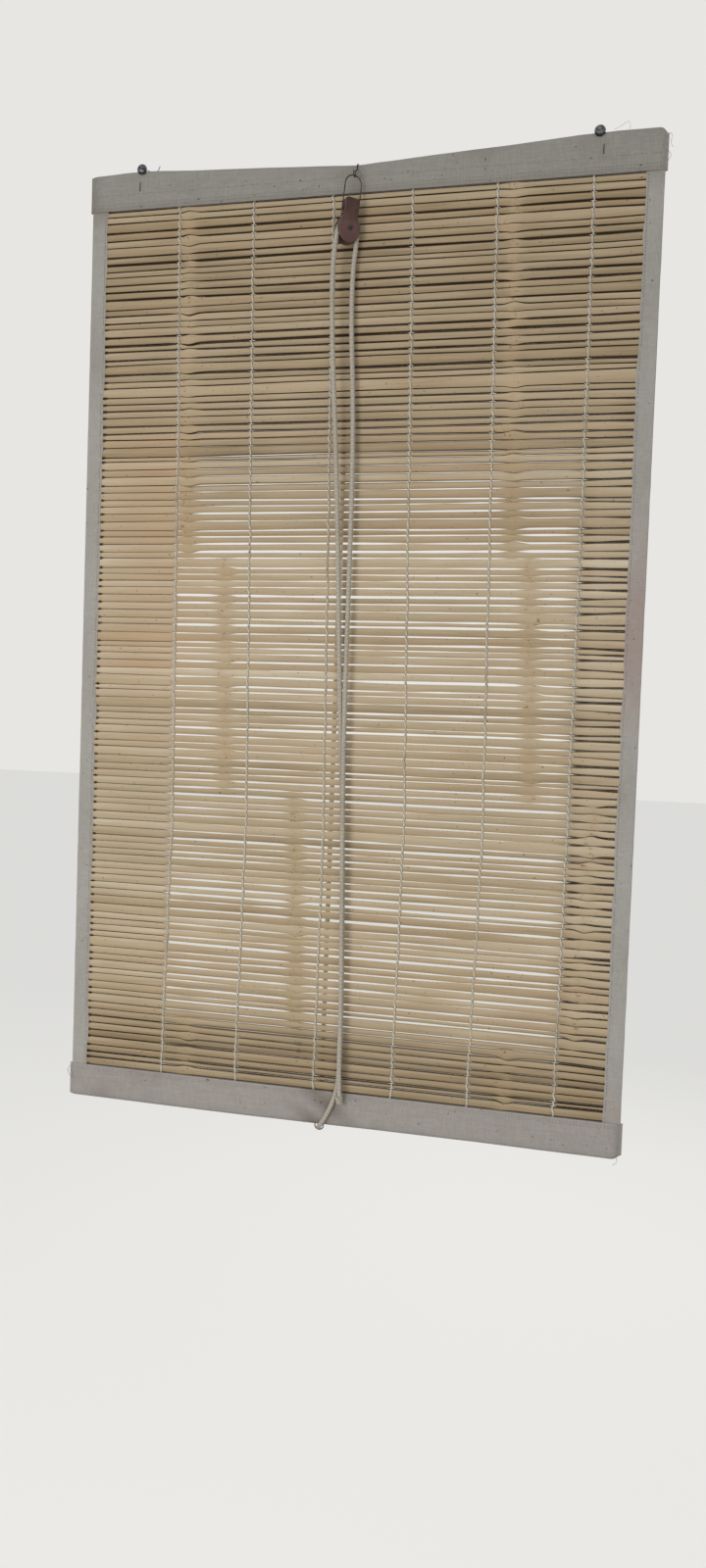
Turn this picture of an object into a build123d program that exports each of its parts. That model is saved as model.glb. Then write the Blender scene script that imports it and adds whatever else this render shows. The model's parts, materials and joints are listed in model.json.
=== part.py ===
from build123d import *
import math
import os

# Bamboo roll up blind: split bamboo between two canvas hems, hung on two nails and raised by a rope and pulley.
# Millimetres. X to the right, Y into the wall, Z up. The wall is the plane Y = 0.
# The origin is on the wall, on the blind's centre line, at the height of the two nails.

# Overall sizes
BLIND_WIDTH = 1100.0
BLIND_DROP = 1830.0
WALL_GAP = 11.0
SOFT_GAP = 0.3

# Canvas hems and the battens sewn into them
HEM_DEPTH = 14.0
HEM_MOUTH = 10.8
TOP_HEM = 70.0
BOTTOM_HEM = 66.0
CLOTH = 1.2
HEM_END_ROUND = 8.0
HEM_END_DEPTH = 9.0
HEM_END_SHARE = 0.4
HIP_GAP = 1.0
DIP_DEPTH = 18.0
DIP_SHARPNESS = 1.35
DIP_STATION = 60.0
BATTEN_HEIGHT = 36.0
TOP_BATTEN_INSET = 26.0
BOTTOM_BATTEN_INSET = 8.0
BATTEN_SIDE_GAP = 14.0
BATTEN_BEVEL = 2.0

# Bamboo slats
SLAT_COUNT = 118
SLAT_GAP = 2.56
SLAT_THICK = 3.4
SLAT_TAPER = 12.0
SLAT_INSET = 10.0
NODE_SWELL = 0.45
NODE_SPREAD = 9.0
# Each band of slats comes from one length of cane: first row, last row, first and last places of a knuckle.
KNUCKLES = (
    (0, 46, -348.0, -327.0),
    (0, 46, 278.0, 306.0),
    (47, 77, -250.0, -236.0),
    (47, 77, 339.0, 356.0),
    (78, 109, -92.0, -76.0),
    (78, 109, 470.0, 452.0),
    (110, 117, -300.0, -304.0),
    (110, 117, 332.0, 330.0),
)

# The mat rolls up in groups of neighbouring slats, below a stretch that stays flat
FLAT_ROWS = 17
GROUP_ROWS = (3,) * 31 + (2,) * 4

# Side tapes and warp cords
TAPE_WIDTH = 32.0
TAPE_INSET = 4.0
TAPE_CLOTH = 1.2
TAPE_TUCK = 7.0
WARP_PLACES = (-352.0, -200.0, -42.0, 112.0, 263.0, 427.0)
WARP_THICK = 1.8

# Nails
NAIL_LEFT_INSET = 109.0
NAIL_RIGHT_INSET = 119.0
NAIL_ABOVE_HEM = 4.0
NAIL_HEAD_RADIUS = 10.0
NAIL_HEAD_HEIGHT = 6.5
NAIL_HEAD_OFF = 1.2
NAIL_NECK_RADIUS = 1.8
NAIL_SHANK_RADIUS = 1.5
NAIL_IN_WALL = 22.0
NAIL_TIP = 4.0
NAIL_POINT_RADIUS = 0.3
NAIL_CROWN_RADIUS = 1.0
NAIL_RIM_SHARE = 0.12
NAIL_DOME_REACH = 0.72
NAIL_DOME_RISE = 0.76

# Hanger wires
WIRE_THICK = 1.4
WIRE_GAP = 0.2
WIRE_HOLE_GAP = 0.3
STITCH_TOP = 20.5
STITCH_BOTTOM = 35.5
STITCH_BEHIND = 10.0
STITCH_RISE = 7.0
LEG_LEFT_OUT = 4.0
LEG_RIGHT_OUT = 7.7
WIRE_BEND = 2.6 / 3
WIRE_LAY = 1.1
FOLD_PASS = 1.5
LOOP_FORWARD = 0.5
HOLE_TILT = 8.0
HOLE_RISE = 1.0
HOLE_SHIFT = 0.1
# Each tail's bends, from the nail: to the right, toward the wall and up.
LEFT_TAIL = ((6, 3.0, 2.7), (14, 2.6, -1.0), (29, 1.8, -1.2), (33, 1.4, 8))
RIGHT_TAIL = ((9, 2.6, -3.2), (20, 2.0, -2.4), (29, 1.4, -3.0))

# Pulley hook, loop, block, sheave and axle
HOOK_X = -9.6
HOOK_THICK = 2.2
HOOK_CLEAR = 0.15
HOOK_TAIL = 60.0
HOOK_OUT = 18.0
HOOK_DROP = 31.3
HOOK_BEND = 6.0
HOOK_TIP = 9.0
HOOK_FALL = 1.5
HOOK_SLANT = 0.7
BAIL_GAP = 0.05
ARC_SLACK = 0.05
LOOP_DROP = 64.0
LOOP_BEND = 2.2
LOOP_SIDE_GAP = 0.5
SOCKET_DEPTH = 5.0
PULLEY_LEAN = 5.7
PULLEY_TWIST = 38.0
BLOCK_TOP = 43.0
BLOCK_BOTTOM = 123.0
NECK_WIDTH = 27.0
NECK_ROUND = 5.0
CHEEK_RADIUS = 20.0
WAIST_ROUND = 14.0
CHEEK_THICK = 3.5
THROAT = 14.0
BLOCK_EDGE = 1.0
SHEAVE_DROP = 96.0
SHEAVE_WIDTH = 13.0
SHEAVE_RADIUS = 23.0
GROOVE_FLARE = 0.6
CROWN_GAP = 3.0
AXLE_RADIUS = 3.0
AXLE_FIT = 0.05
AXLE_HEAD_RADIUS = 5.0
AXLE_HEAD = 1.6

# Rope. Ropes and wires have a few flat sides, which keeps the model light.
ROPE_THICK = 9.0
ROPE_SIDES = 12
WIRE_SIDES = 8
RUN_OFF = 0.6
LEG_DROP = 141.0
ROPE_ARC = 0.45
TURN_X = -21.2
TURN_GAP = 0.65
TURN_SLACK = 0.1
BIGHT_SLACK = 0.02
BIGHT_PROUD = 2.3
LEG_ONWARD = 60.0
PULL_TUCK = 3.2
# The lift run's route: to the right, out from the cloth, then down from the top or up from the bottom.
LIFT_UPPER = ((-22.5, 12.5, 610.0), (-5.5, 3.4, 1010.0), (10.5, 0.3, 1290.0))
LIFT_LOWER = ((18.0, 0.1, 260.0), (17.6, 0.0, 88.0), (8.6, 0.0, 57.0), (-7.5, 0.0, 22.0))
# The pull run's route: to the right, back toward the cloth, then down from the top or up from the bottom.
PULL_UPPER = ((4.2, 6.5, 520.0), (5.0, 2.5, 860.0), (6.6, 0.0, 1130.0))
PULL_LOWER = ((20.2, 0.0, 220.0), (20.8, 0.0, BOTTOM_HEM))
KNOT_HEIGHT = 20.0
KNOT_WIDTH = 15.0
KNOT_DEPTH = 16.2
KNOT_ROUND = 5.0
KNOT_BEVEL = 0.6
KNOT_X = 20.0
TOP_KNOT_HEIGHT = 17.0
TOP_KNOT_WIDTH = 19.0
TOP_KNOT_DEPTH = 9.6
TOP_KNOT_Z = -44.0
TOP_KNOT_FLAT = 0.5
BACK_RUN_X = -22.0

# Ring under the bottom hem
RING_CLEAR = 4.0
RING_ROPE_GAP = 0.2
RING_THICK = 2.2
RING_DROP = 3.0

# Places worked out from the sizes above
TOP_Z = -NAIL_ABOVE_HEM
BOTTOM_Z = TOP_Z - BLIND_DROP
BACK_Y = -WALL_GAP
MAT_Y = BACK_Y - HEM_DEPTH / 2
FRONT_Y = BACK_Y - HEM_DEPTH
HALF_WIDTH = BLIND_WIDTH / 2
MAT_TOP_Z = TOP_Z - TOP_HEM
MAT_BOTTOM_Z = BOTTOM_Z + BOTTOM_HEM
SLAT_PITCH = (MAT_TOP_Z - MAT_BOTTOM_Z) / SLAT_COUNT
SLAT_WIDTH = SLAT_PITCH - SLAT_GAP
SLAT_HALF = HALF_WIDTH - SLAT_INSET
BATTEN_THICK = HEM_DEPTH - 2 * CLOTH - SOFT_GAP
BATTEN_HALF = HALF_WIDTH - BATTEN_SIDE_GAP
NAIL_LEFT_X = -HALF_WIDTH + NAIL_LEFT_INSET
NAIL_RIGHT_X = HALF_WIDTH - NAIL_RIGHT_INSET
HOOK_Y = FRONT_Y - HOOK_OUT
HOOK_Z = TOP_Z - DIP_DEPTH - HOOK_DROP
ROPE_RADIUS = ROPE_THICK / 2
ROPE_TURN = SHEAVE_RADIUS - SOFT_GAP - ROPE_RADIUS + BIGHT_PROUD
TURN_RADIUS = HEM_DEPTH / 2 + ROPE_RADIUS + TURN_GAP
RING_RADIUS = ROPE_RADIUS + RING_CLEAR
RING_Z = BOTTOM_Z - RING_DROP
TURN_Z = RING_Z - (RING_RADIUS - RING_THICK / 2 - ROPE_RADIUS - RING_ROPE_GAP)
PULLEY = (
    Pos(HOOK_X, HOOK_Y, HOOK_Z + HOOK_THICK + BAIL_GAP)
    * Rot(0, PULLEY_LEAN, 0)
    * Rot(0, 0, PULLEY_TWIST)
)


def save(name, *solids):
    """Write one sub-part, which may be several solids side by side."""
    shape = solids[0] if len(solids) == 1 else Compound(children=list(solids))
    export_step(shape, f"parts/{name}.step")


def arc_radii(points):
    """The largest even arc at each corner of a cord's route."""
    radii = []
    for a, b, c in zip(points, points[1:], points[2:]):
        before = Vector(*b) - Vector(*a)
        after = Vector(*c) - Vector(*b)
        half_turn = math.radians(before.get_angle(after)) / 2
        radii.append(ROPE_ARC * min(before.length, after.length) / math.tan(half_turn))
    return radii


def tube(points, radii, thick, sides, name=None):
    """A wire or rope along straight runs joined by arcs."""
    path = FilletPolyline(*points, radius=radii)
    start = Plane(origin=path @ 0, z_dir=path % 0)
    section = RegularPolygon(thick / 2, sides)
    solid = sweep(start * section, path=path)
    if name:
        share = solid.volume / (section.area * path.length)
        print(name, "radii", [round(r) for r in radii], "volume over section times length", round(share, 4))
    return solid


def dip(x):
    """How far the top hem's fold is pulled down by the pulley hook."""
    edge = NAIL_LEFT_X if x < HOOK_X else NAIL_RIGHT_X
    reach = max(0.0, 1 - (x - HOOK_X) / (edge - HOOK_X))
    return DIP_DEPTH * reach**DIP_SHARPNESS


def hem_section(x, fold_z, hip_z, mouth_z, depth, mouth):
    """One cross-section of a hem: a rounded fold, level sides down to the hip, then a narrower mouth."""
    radius = depth / 2
    way = 1 if fold_z > mouth_z else -1
    shoulder = fold_z - way * radius
    front = [(MAT_Y - mouth / 2, mouth_z), (MAT_Y - radius, hip_z), (MAT_Y - radius, shoulder)]
    back = [(2 * MAT_Y - y, z) for y, z in reversed(front)]
    front = [Vector(x, y, z) for y, z in front]
    back = [Vector(x, y, z) for y, z in back]
    fold = ThreePointArc(front[-1], Vector(x, MAT_Y, fold_z), back[0])
    sides = [Line(a, b) for a, b in zip(front, front[1:])]
    sides += [fold] + [Line(a, b) for a, b in zip(back, back[1:])] + [Line(back[-1], front[0])]
    return Wire(sides)


def hem(fold_z, hip_z, mouth_z, stations, sag):
    """A folded canvas sleeve, closed at both ends and open along the edge that holds the mat."""
    way = 1 if fold_z > mouth_z else -1
    outer = []
    inner = []
    for x in [-HALF_WIDTH, -HALF_WIDTH + HEM_END_ROUND, *stations, HALF_WIDTH - HEM_END_ROUND, HALF_WIDTH]:
        at_end = abs(x) > HALF_WIDTH - HEM_END_ROUND / 2
        depth = HEM_END_DEPTH if at_end else HEM_DEPTH
        mouth = HEM_END_DEPTH if at_end else HEM_MOUTH
        lower = 2 * CLOTH if at_end else sag(x)
        outer.append(hem_section(x, fold_z - way * lower, hip_z, mouth_z, depth, mouth))
        if at_end:
            x = math.copysign(HALF_WIDTH - HEM_END_SHARE * HEM_END_ROUND, x)
            depth = HEM_END_DEPTH + HEM_END_SHARE * (HEM_DEPTH - HEM_END_DEPTH)
            mouth = HEM_END_DEPTH + HEM_END_SHARE * (HEM_MOUTH - HEM_END_DEPTH)
            lower = 2 * CLOTH * (1 - HEM_END_SHARE)
        inside_fold = fold_z - way * (lower + CLOTH)
        inner.append(hem_section(x, inside_fold, hip_z, mouth_z - way, depth - 2 * CLOTH, mouth - 2 * CLOTH))
    return Solid.make_loft(outer, ruled=True) - Solid.make_loft(inner, ruled=True)


def batten(centre_z):
    """A flat wooden strip inside a hem."""
    strip = Box(2 * BATTEN_HALF, BATTEN_THICK, BATTEN_HEIGHT)
    strip = chamfer(strip.edges().filter_by(Axis.X), BATTEN_BEVEL)
    return Pos(0, MAT_Y, centre_z) * strip


def wire_route(nail_x, leg_x, side, tail):
    """From inside the batten, out through the cloth, up, round the nail's neck and off into a bent tail."""
    ring = NAIL_NECK_RADIUS + WIRE_GAP + WIRE_THICK / 2
    outside = FRONT_Y - WIRE_THICK / 2 - WIRE_GAP
    turn = WIRE_BEND * ring
    stitch_top = TOP_Z - STITCH_TOP
    stitch_bottom = TOP_Z - STITCH_BOTTOM
    step = WIRE_LAY * WIRE_THICK / 2
    loop_y = MAT_Y - LOOP_FORWARD
    near = nail_x + side * ring
    far = nail_x - side * ring
    points = [
        (leg_x, outside + STITCH_BEHIND, stitch_bottom),
        (leg_x, outside, stitch_bottom),
        (leg_x, outside, stitch_top),
        (leg_x, loop_y, stitch_top + STITCH_RISE),
        (near, loop_y, TOP_Z - FOLD_PASS),
        (near, loop_y, ring),
        (far, loop_y + step, ring),
        (far, loop_y + 2 * step, -ring),
    ]
    radii = [turn / 2, turn, 2 * turn, 2 * turn, turn, turn, turn]
    if side < 0:
        points += [(near, loop_y + 3 * step, -ring), (near, loop_y + 4 * step, ring)]
        radii += [turn, turn]
    points += [(nail_x + dx, loop_y + dy, dz) for dx, dy, dz in tail]
    radii += [turn] * (len(tail) - 1)
    return points, radii


def wire_holes(nail_x, leg_x, side):
    """Where a hanger wire passes through the cloth and the batten."""
    ring = NAIL_NECK_RADIUS + WIRE_GAP + WIRE_THICK / 2
    radius = WIRE_THICK / 2 + WIRE_HOLE_GAP
    through = Rot(90, 0, 0) * Cylinder(radius, 2 * STITCH_BEHIND)
    upper = Rot(90, 0, 0) * Cylinder(2 * radius, 3 * CLOTH)
    fold = Rot(0, side * HOLE_TILT, 0) * Cylinder(2 * radius, 4 * CLOTH)
    return [
        Pos(leg_x, FRONT_Y, TOP_Z - STITCH_BOTTOM) * through,
        Pos(leg_x, FRONT_Y + CLOTH / 2, TOP_Z - STITCH_TOP + HOLE_RISE) * upper,
        Pos(nail_x + side * (ring + HOLE_SHIFT), MAT_Y - LOOP_FORWARD, TOP_Z - LOOP_FORWARD) * fold,
    ]


def nail(x):
    """A dome-headed nail standing out of the wall."""
    head_y = FRONT_Y - NAIL_HEAD_OFF
    crown = (NAIL_CROWN_RADIUS, head_y - NAIL_HEAD_HEIGHT)
    corners = [
        crown,
        (0, head_y - NAIL_HEAD_HEIGHT),
        (0, NAIL_IN_WALL + NAIL_TIP),
        (NAIL_POINT_RADIUS, NAIL_IN_WALL + NAIL_TIP),
        (NAIL_SHANK_RADIUS, NAIL_IN_WALL),
        (NAIL_SHANK_RADIUS, 0),
        (NAIL_NECK_RADIUS, 0),
        (NAIL_NECK_RADIUS, head_y),
        (NAIL_HEAD_RADIUS, head_y),
        (NAIL_HEAD_RADIUS, head_y - NAIL_HEAD_HEIGHT * NAIL_RIM_SHARE),
    ]
    shoulder = (NAIL_HEAD_RADIUS * NAIL_DOME_REACH, head_y - NAIL_HEAD_HEIGHT * NAIL_DOME_RISE)
    outline = [Line(a, b) for a, b in zip(corners, corners[1:])]
    outline.append(ThreePointArc(corners[-1], shoulder, crown))
    return Pos(x, 0, 0) * revolve(make_face(outline), axis=Axis.Y)


def pulley_hook():
    """A wire hook over the top hem that ends in a J in front of it."""
    wrap = HEM_DEPTH / 2 + HOOK_THICK / 2 + HOOK_CLEAR
    over_z = TOP_Z - DIP_DEPTH + HOOK_THICK / 2 + HOOK_CLEAR
    behind = MAT_Y + wrap
    before = MAT_Y - wrap
    lip = HOOK_Y + HOOK_BEND
    points = [
        (HOOK_X, behind, TOP_Z - HOOK_TAIL),
        (HOOK_X, behind, over_z),
        (HOOK_X, before, over_z),
        (HOOK_X, before, over_z - HOOK_FALL * wrap),
        (HOOK_X, lip, HOOK_Z + 2 * HOOK_BEND),
        (HOOK_X, lip, HOOK_Z),
        (HOOK_X, HOOK_Y - HOOK_BEND, HOOK_Z),
        (HOOK_X, HOOK_Y - HOOK_BEND, HOOK_Z + HOOK_TIP),
    ]
    round_hem = wrap - ARC_SLACK
    round_lip = HOOK_BEND - ARC_SLACK
    slant = HOOK_SLANT * HOOK_BEND
    return tube(points, [round_hem, round_hem, slant, slant, round_lip, round_lip], HOOK_THICK, WIRE_SIDES)


def pulley_loop():
    """A wire bail that hangs on the hook, its two ends bent into the block's neck."""
    half = NECK_WIDTH / 2 + LOOP_SIDE_GAP + LOOP_BEND
    foot = NECK_WIDTH / 2 - SOCKET_DEPTH + SOFT_GAP
    points = [
        (-foot, 0, -LOOP_DROP),
        (-half, 0, -LOOP_DROP),
        (-half, 0, 0),
        (half, 0, 0),
        (half, 0, -LOOP_DROP),
        (foot, 0, -LOOP_DROP),
    ]
    crown = half - ARC_SLACK
    return tube(points, [LOOP_BEND, crown, crown, LOOP_BEND], HOOK_THICK, WIRE_SIDES)


def pulley_block():
    """Two cheeks joined by a crown, with a neck for the bail and an open throat for the sheave."""
    neck_height = SHEAVE_DROP - BLOCK_TOP
    neck = Pos(0, -BLOCK_TOP - neck_height / 2) * Rectangle(NECK_WIDTH, neck_height)
    cheek_centre = -BLOCK_BOTTOM + CHEEK_RADIUS
    cheek = Pos(0, cheek_centre) * Circle(CHEEK_RADIUS)
    outline = neck + cheek
    waist = outline.vertices().filter_by_position(Axis.Y, cheek_centre, -BLOCK_TOP - 1)
    outline = fillet(waist, WAIST_ROUND)
    outline = fillet(outline.vertices().group_by(Axis.Y)[-1], NECK_ROUND)
    depth = THROAT + 2 * CHEEK_THICK
    body = extrude(Plane.XZ * outline, depth / 2, both=True)
    body = chamfer(body.faces().filter_by(Axis.Y).edges(), BLOCK_EDGE)
    throat = Rot(90, 0, 0) * Cylinder(SHEAVE_RADIUS + CROWN_GAP, THROAT)
    mouth = Pos(0, 0, -SHEAVE_DROP / 2) * Box(2 * SHEAVE_DROP, THROAT, SHEAVE_DROP)
    body -= Pos(0, 0, -SHEAVE_DROP) * (throat + mouth)
    body -= Pos(0, 0, -SHEAVE_DROP) * Rot(90, 0, 0) * Cylinder(AXLE_RADIUS + AXLE_FIT, 2 * depth)
    socket = Rot(0, 90, 0) * Cylinder(HOOK_THICK / 2 + HOOK_CLEAR, 2 * SOCKET_DEPTH)
    for side in (-1, 1):
        body -= Pos(side * NECK_WIDTH / 2, 0, -LOOP_DROP) * socket
    return body


def pulley_sheave():
    """A grooved wheel that the rope runs over."""
    half = SHEAVE_WIDTH / 2
    groove = ROPE_RADIUS + SOFT_GAP
    bore = AXLE_RADIUS + AXLE_FIT
    rim = groove + GROOVE_FLARE
    lower = [(bore, half), (bore, -half), (SHEAVE_RADIUS, -half), (SHEAVE_RADIUS, -rim), (ROPE_TURN, -groove)]
    upper = [(r, -y) for r, y in reversed(lower[1:])]
    outline = [Line(a, b) for a, b in zip(lower, lower[1:])]
    outline.append(ThreePointArc(lower[-1], (ROPE_TURN - groove, 0), upper[0]))
    outline += [Line(a, b) for a, b in zip(upper, upper[1:])]
    disc = revolve(make_face(outline), axis=Axis.Y)
    return Pos(0, 0, -SHEAVE_DROP) * disc


def pulley_axle():
    """A riveted pin through both cheeks."""
    depth = THROAT + 2 * CHEEK_THICK
    pin = Cylinder(AXLE_RADIUS, depth)
    for side in (-1, 1):
        head = Pos(0, 0, side * (depth + AXLE_HEAD) / 2) * Cylinder(AXLE_HEAD_RADIUS, AXLE_HEAD)
        rim = head.faces().sort_by(Axis.Z)[0 if side < 0 else -1].edges()
        pin += chamfer(rim, AXLE_HEAD / 2)
    return Pos(0, 0, -SHEAVE_DROP) * Rot(90, 0, 0) * pin


def rope_bight():
    """The rope over the sheave, with a leg down each side."""
    over = -SHEAVE_DROP + ROPE_TURN
    points = [
        (-ROPE_TURN, 0, -LEG_DROP),
        (-ROPE_TURN, 0, over),
        (ROPE_TURN, 0, over),
        (ROPE_TURN, 0, -LEG_DROP),
    ]
    radius = ROPE_TURN - BIGHT_SLACK
    return tube(points, [radius, radius], ROPE_THICK, ROPE_SIDES, "rope over the sheave")


def leg_start(side):
    """The end of one leg of the bight, and a point straight on below it."""
    end = (PULLEY * Pos(side * ROPE_TURN, 0, -LEG_DROP)).position
    onward = (PULLEY * Pos(side * ROPE_TURN, 0, -LEG_DROP - LEG_ONWARD)).position
    return [tuple(end), tuple(onward)]


def long_rope():
    """From the left leg down the front, round through the ring and up the back to the knot behind the hem."""
    before = FRONT_Y - ROPE_RADIUS - RUN_OFF
    behind = MAT_Y + TURN_RADIUS
    front = [(x, before - out, TOP_Z - down) for x, out, down in LIFT_UPPER]
    front += [(x, before - out, BOTTOM_Z + up) for x, out, up in LIFT_LOWER]
    turn = [
        (TURN_X, MAT_Y - TURN_RADIUS, TURN_Z),
        (BACK_RUN_X, behind, TURN_Z),
    ]
    back = [(BACK_RUN_X, behind, TOP_Z + TOP_KNOT_Z - TOP_KNOT_HEIGHT / 2)]
    points = leg_start(-1) + front + turn + back
    radii = arc_radii(points)
    radii[-2:] = [TURN_RADIUS - TURN_SLACK, TURN_RADIUS - TURN_SLACK]
    return tube(points, radii, ROPE_THICK, ROPE_SIDES, "lift run, foot and back run")


def pull_rope():
    """From the right leg down to the knot on the bottom hem."""
    before = FRONT_Y - 2 * ROPE_THICK + PULL_TUCK
    points = leg_start(1)
    points += [(x, before + back, TOP_Z - down) for x, back, down in PULL_UPPER]
    points += [(x, before + back, BOTTOM_Z + up) for x, back, up in PULL_LOWER]
    return tube(points, arc_radii(points), ROPE_THICK, ROPE_SIDES, "pull run")


def knot(width, depth, height, edge):
    """A rounded lump that stands for a knot, flat on top where the rope enters it."""
    lump = Box(width, depth, height)
    lump = fillet(lump.edges().filter_by(Axis.Z), edge)
    return chamfer(lump.faces().sort_by(Axis.Z)[0].edges(), KNOT_BEVEL * edge)


def rope_knot():
    """The pull run's end tied round the lift run."""
    place = Pos(KNOT_X, FRONT_Y - KNOT_DEPTH / 2 - RUN_OFF, MAT_BOTTOM_Z - SOFT_GAP - KNOT_HEIGHT / 2)
    return place * knot(KNOT_WIDTH, KNOT_DEPTH, KNOT_HEIGHT, KNOT_ROUND)


def top_knot():
    """The end of the back run, knotted behind the top hem."""
    place = Pos(BACK_RUN_X, BACK_Y + TOP_KNOT_DEPTH / 2 + SOFT_GAP, TOP_Z + TOP_KNOT_Z)
    lump = knot(TOP_KNOT_WIDTH, TOP_KNOT_DEPTH, TOP_KNOT_HEIGHT, TOP_KNOT_DEPTH / 2 - TOP_KNOT_FLAT)
    return place * Rot(180, 0, 0) * lump


def slat_nodes(row):
    """Where the knuckles of the cane lie on one slat."""
    places = []
    for first, last, start, end in KNUCKLES:
        if first <= row <= last:
            places.append(start + (end - start) * (row - first) / (last - first))
    return [x for x in places if abs(x) < SLAT_HALF - 2 * NODE_SPREAD]


def slat(row):
    """One split of bamboo: flat at the back, narrower in front, swollen at its knuckles."""
    half = SLAT_WIDTH / 2
    upper = []
    for x in sorted(slat_nodes(row)):
        upper += [(x - NODE_SPREAD, half), (x, half + NODE_SWELL), (x + NODE_SPREAD, half)]
    lower = [(x, -z) for x, z in reversed(upper)]
    corners = [(-SLAT_HALF, half), *upper, (SLAT_HALF, half), (SLAT_HALF, -half), *lower, (-SLAT_HALF, -half)]
    outline = make_face(Polyline(*corners, close=True))
    strip = extrude(Plane.XZ * outline, SLAT_THICK, taper=SLAT_TAPER)
    return Pos(0, MAT_Y + SLAT_THICK / 2, MAT_TOP_Z - SLAT_PITCH * (row + 0.5)) * strip


def side_tape(side):
    """A canvas strip folded round the slat ends, with its ends tucked into the hems."""
    outer_x = HALF_WIDTH - TAPE_INSET
    inside = SLAT_THICK + 2 * SOFT_GAP
    top = MAT_TOP_Z + TAPE_TUCK
    bottom = MAT_BOTTOM_Z - TAPE_TUCK
    length = top - bottom
    strip = Box(TAPE_WIDTH, inside + 2 * TAPE_CLOTH, length)
    fold = strip.edges().filter_by(Axis.Z).group_by(Axis.X)[-1]
    strip = fillet(fold, TAPE_CLOTH)
    strip -= Pos(-TAPE_CLOTH, 0, 0) * Box(TAPE_WIDTH, inside, length)
    placed = Pos(outer_x - TAPE_WIDTH / 2, MAT_Y, (top + bottom) / 2) * strip
    return placed if side > 0 else mirror(placed, about=Plane.YZ)


def warp_cords():
    """Two strands at each place, before and behind the slats, from batten to batten."""
    off = SLAT_THICK / 2 + SOFT_GAP + WARP_THICK / 2
    top = TOP_Z - TOP_BATTEN_INSET - BATTEN_HEIGHT - SOFT_GAP
    bottom = BOTTOM_Z + BOTTOM_BATTEN_INSET + BATTEN_HEIGHT + SOFT_GAP
    strand = extrude(RegularPolygon(WARP_THICK / 2, WIRE_SIDES), (top - bottom) / 2, both=True)
    places = [(x, MAT_Y + way * off) for x in WARP_PLACES for way in (-1, 1)]
    return [Pos(x, y, (top + bottom) / 2) * strand for x, y in places]


def ring():
    """A wire ring stitched through the bottom hem's fold, which the rope passes through."""
    place = Pos(TURN_X, MAT_Y, RING_Z)
    wire = revolve(Pos(RING_RADIUS, 0) * RegularPolygon(RING_THICK / 2, WIRE_SIDES), axis=Axis.Y)
    hole = Rot(90, 0, 0) * Torus(RING_RADIUS, RING_THICK / 2 + WIRE_HOLE_GAP)
    return place * wire, place * hole


def halves(shape, plane):
    """The two sides of a solid at a plane, upper side first."""
    return split(shape, bisect_by=plane, keep=Keep.TOP), split(shape, bisect_by=plane, keep=Keep.BOTTOM)


def build():
    os.makedirs("parts", exist_ok=True)
    wires = (
        ("left", NAIL_LEFT_X, NAIL_LEFT_X - LEG_LEFT_OUT, -1, LEFT_TAIL),
        ("right", NAIL_RIGHT_X, NAIL_RIGHT_X + LEG_RIGHT_OUT, 1, RIGHT_TAIL),
    )

    # Top hem, its batten, the nails and the hanger wires
    stations = [NAIL_LEFT_X, NAIL_LEFT_X / 2, HOOK_X - DIP_STATION, HOOK_X]
    stations += [HOOK_X + DIP_STATION, NAIL_RIGHT_X / 2, NAIL_RIGHT_X]
    hip_z = TOP_Z - TOP_BATTEN_INSET - BATTEN_HEIGHT - HIP_GAP
    top_hem = hem(TOP_Z, hip_z, MAT_TOP_Z, stations, dip)
    top_batten = batten(TOP_Z - TOP_BATTEN_INSET - BATTEN_HEIGHT / 2)
    for name, nail_x, leg_x, side, tail in wires:
        for hole in wire_holes(nail_x, leg_x, side):
            top_hem -= hole
            top_batten -= hole
        points, radii = wire_route(nail_x, leg_x, side, tail)
        save(f"hanger_wire_{name}", tube(points, radii, WIRE_THICK, WIRE_SIDES))
        save(f"nail_{name}", nail(nail_x))
    save("top_hem", top_hem)
    save("top_batten", top_batten)

    # Pulley
    save("pulley_hook_wire", pulley_hook())
    save("pulley_wire_loop", PULLEY * pulley_loop())
    save("pulley_block", PULLEY * pulley_block())
    save("pulley_sheave", PULLEY * pulley_sheave())
    save("pulley_axle", PULLEY * pulley_axle())
    save("rope_over_sheave", PULLEY * rope_bight())

    # Rope
    tie = rope_knot()
    whole = long_rope()
    front_and_foot, back_run = halves(whole, Plane(origin=(0, BACK_Y, 0), z_dir=(0, -1, 0)))
    lift_run, foot = halves(front_and_foot, Plane(origin=(0, 0, MAT_BOTTOM_Z - SOFT_GAP), z_dir=(0, 0, 1)))
    save("rope_lift_run", lift_run)
    save("rope_foot", foot - tie)
    save("rope_back_run", back_run)
    save("rope_pull_run", pull_rope())
    save("rope_knot", tie)
    save("rope_top_knot", top_knot())

    # Bottom hem, its batten and the ring
    wire_ring, ring_hole = ring()
    hip_z = BOTTOM_Z + BOTTOM_BATTEN_INSET + BATTEN_HEIGHT + HIP_GAP
    save("bottom_hem", hem(BOTTOM_Z, hip_z, MAT_BOTTOM_Z, [], dip) - ring_hole)
    save("bottom_batten", batten(BOTTOM_Z + BOTTOM_BATTEN_INSET + BATTEN_HEIGHT / 2))
    save("bottom_ring", wire_ring)

    # Mat
    save("side_tape_left", side_tape(-1))
    save("side_tape_right", side_tape(1))
    save("warp_cords", *warp_cords())
    save("slats_fixed", *[slat(row) for row in range(FLAT_ROWS)])
    row = FLAT_ROWS
    for number, rows in enumerate(GROUP_ROWS, start=1):
        save(f"slats_{number:02d}", *[slat(r) for r in range(row, row + rows)])
        row += rows


build()
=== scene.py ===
import bmesh
import bpy
import json
import math
import numpy as np
from mathutils import Matrix, Vector


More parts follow.
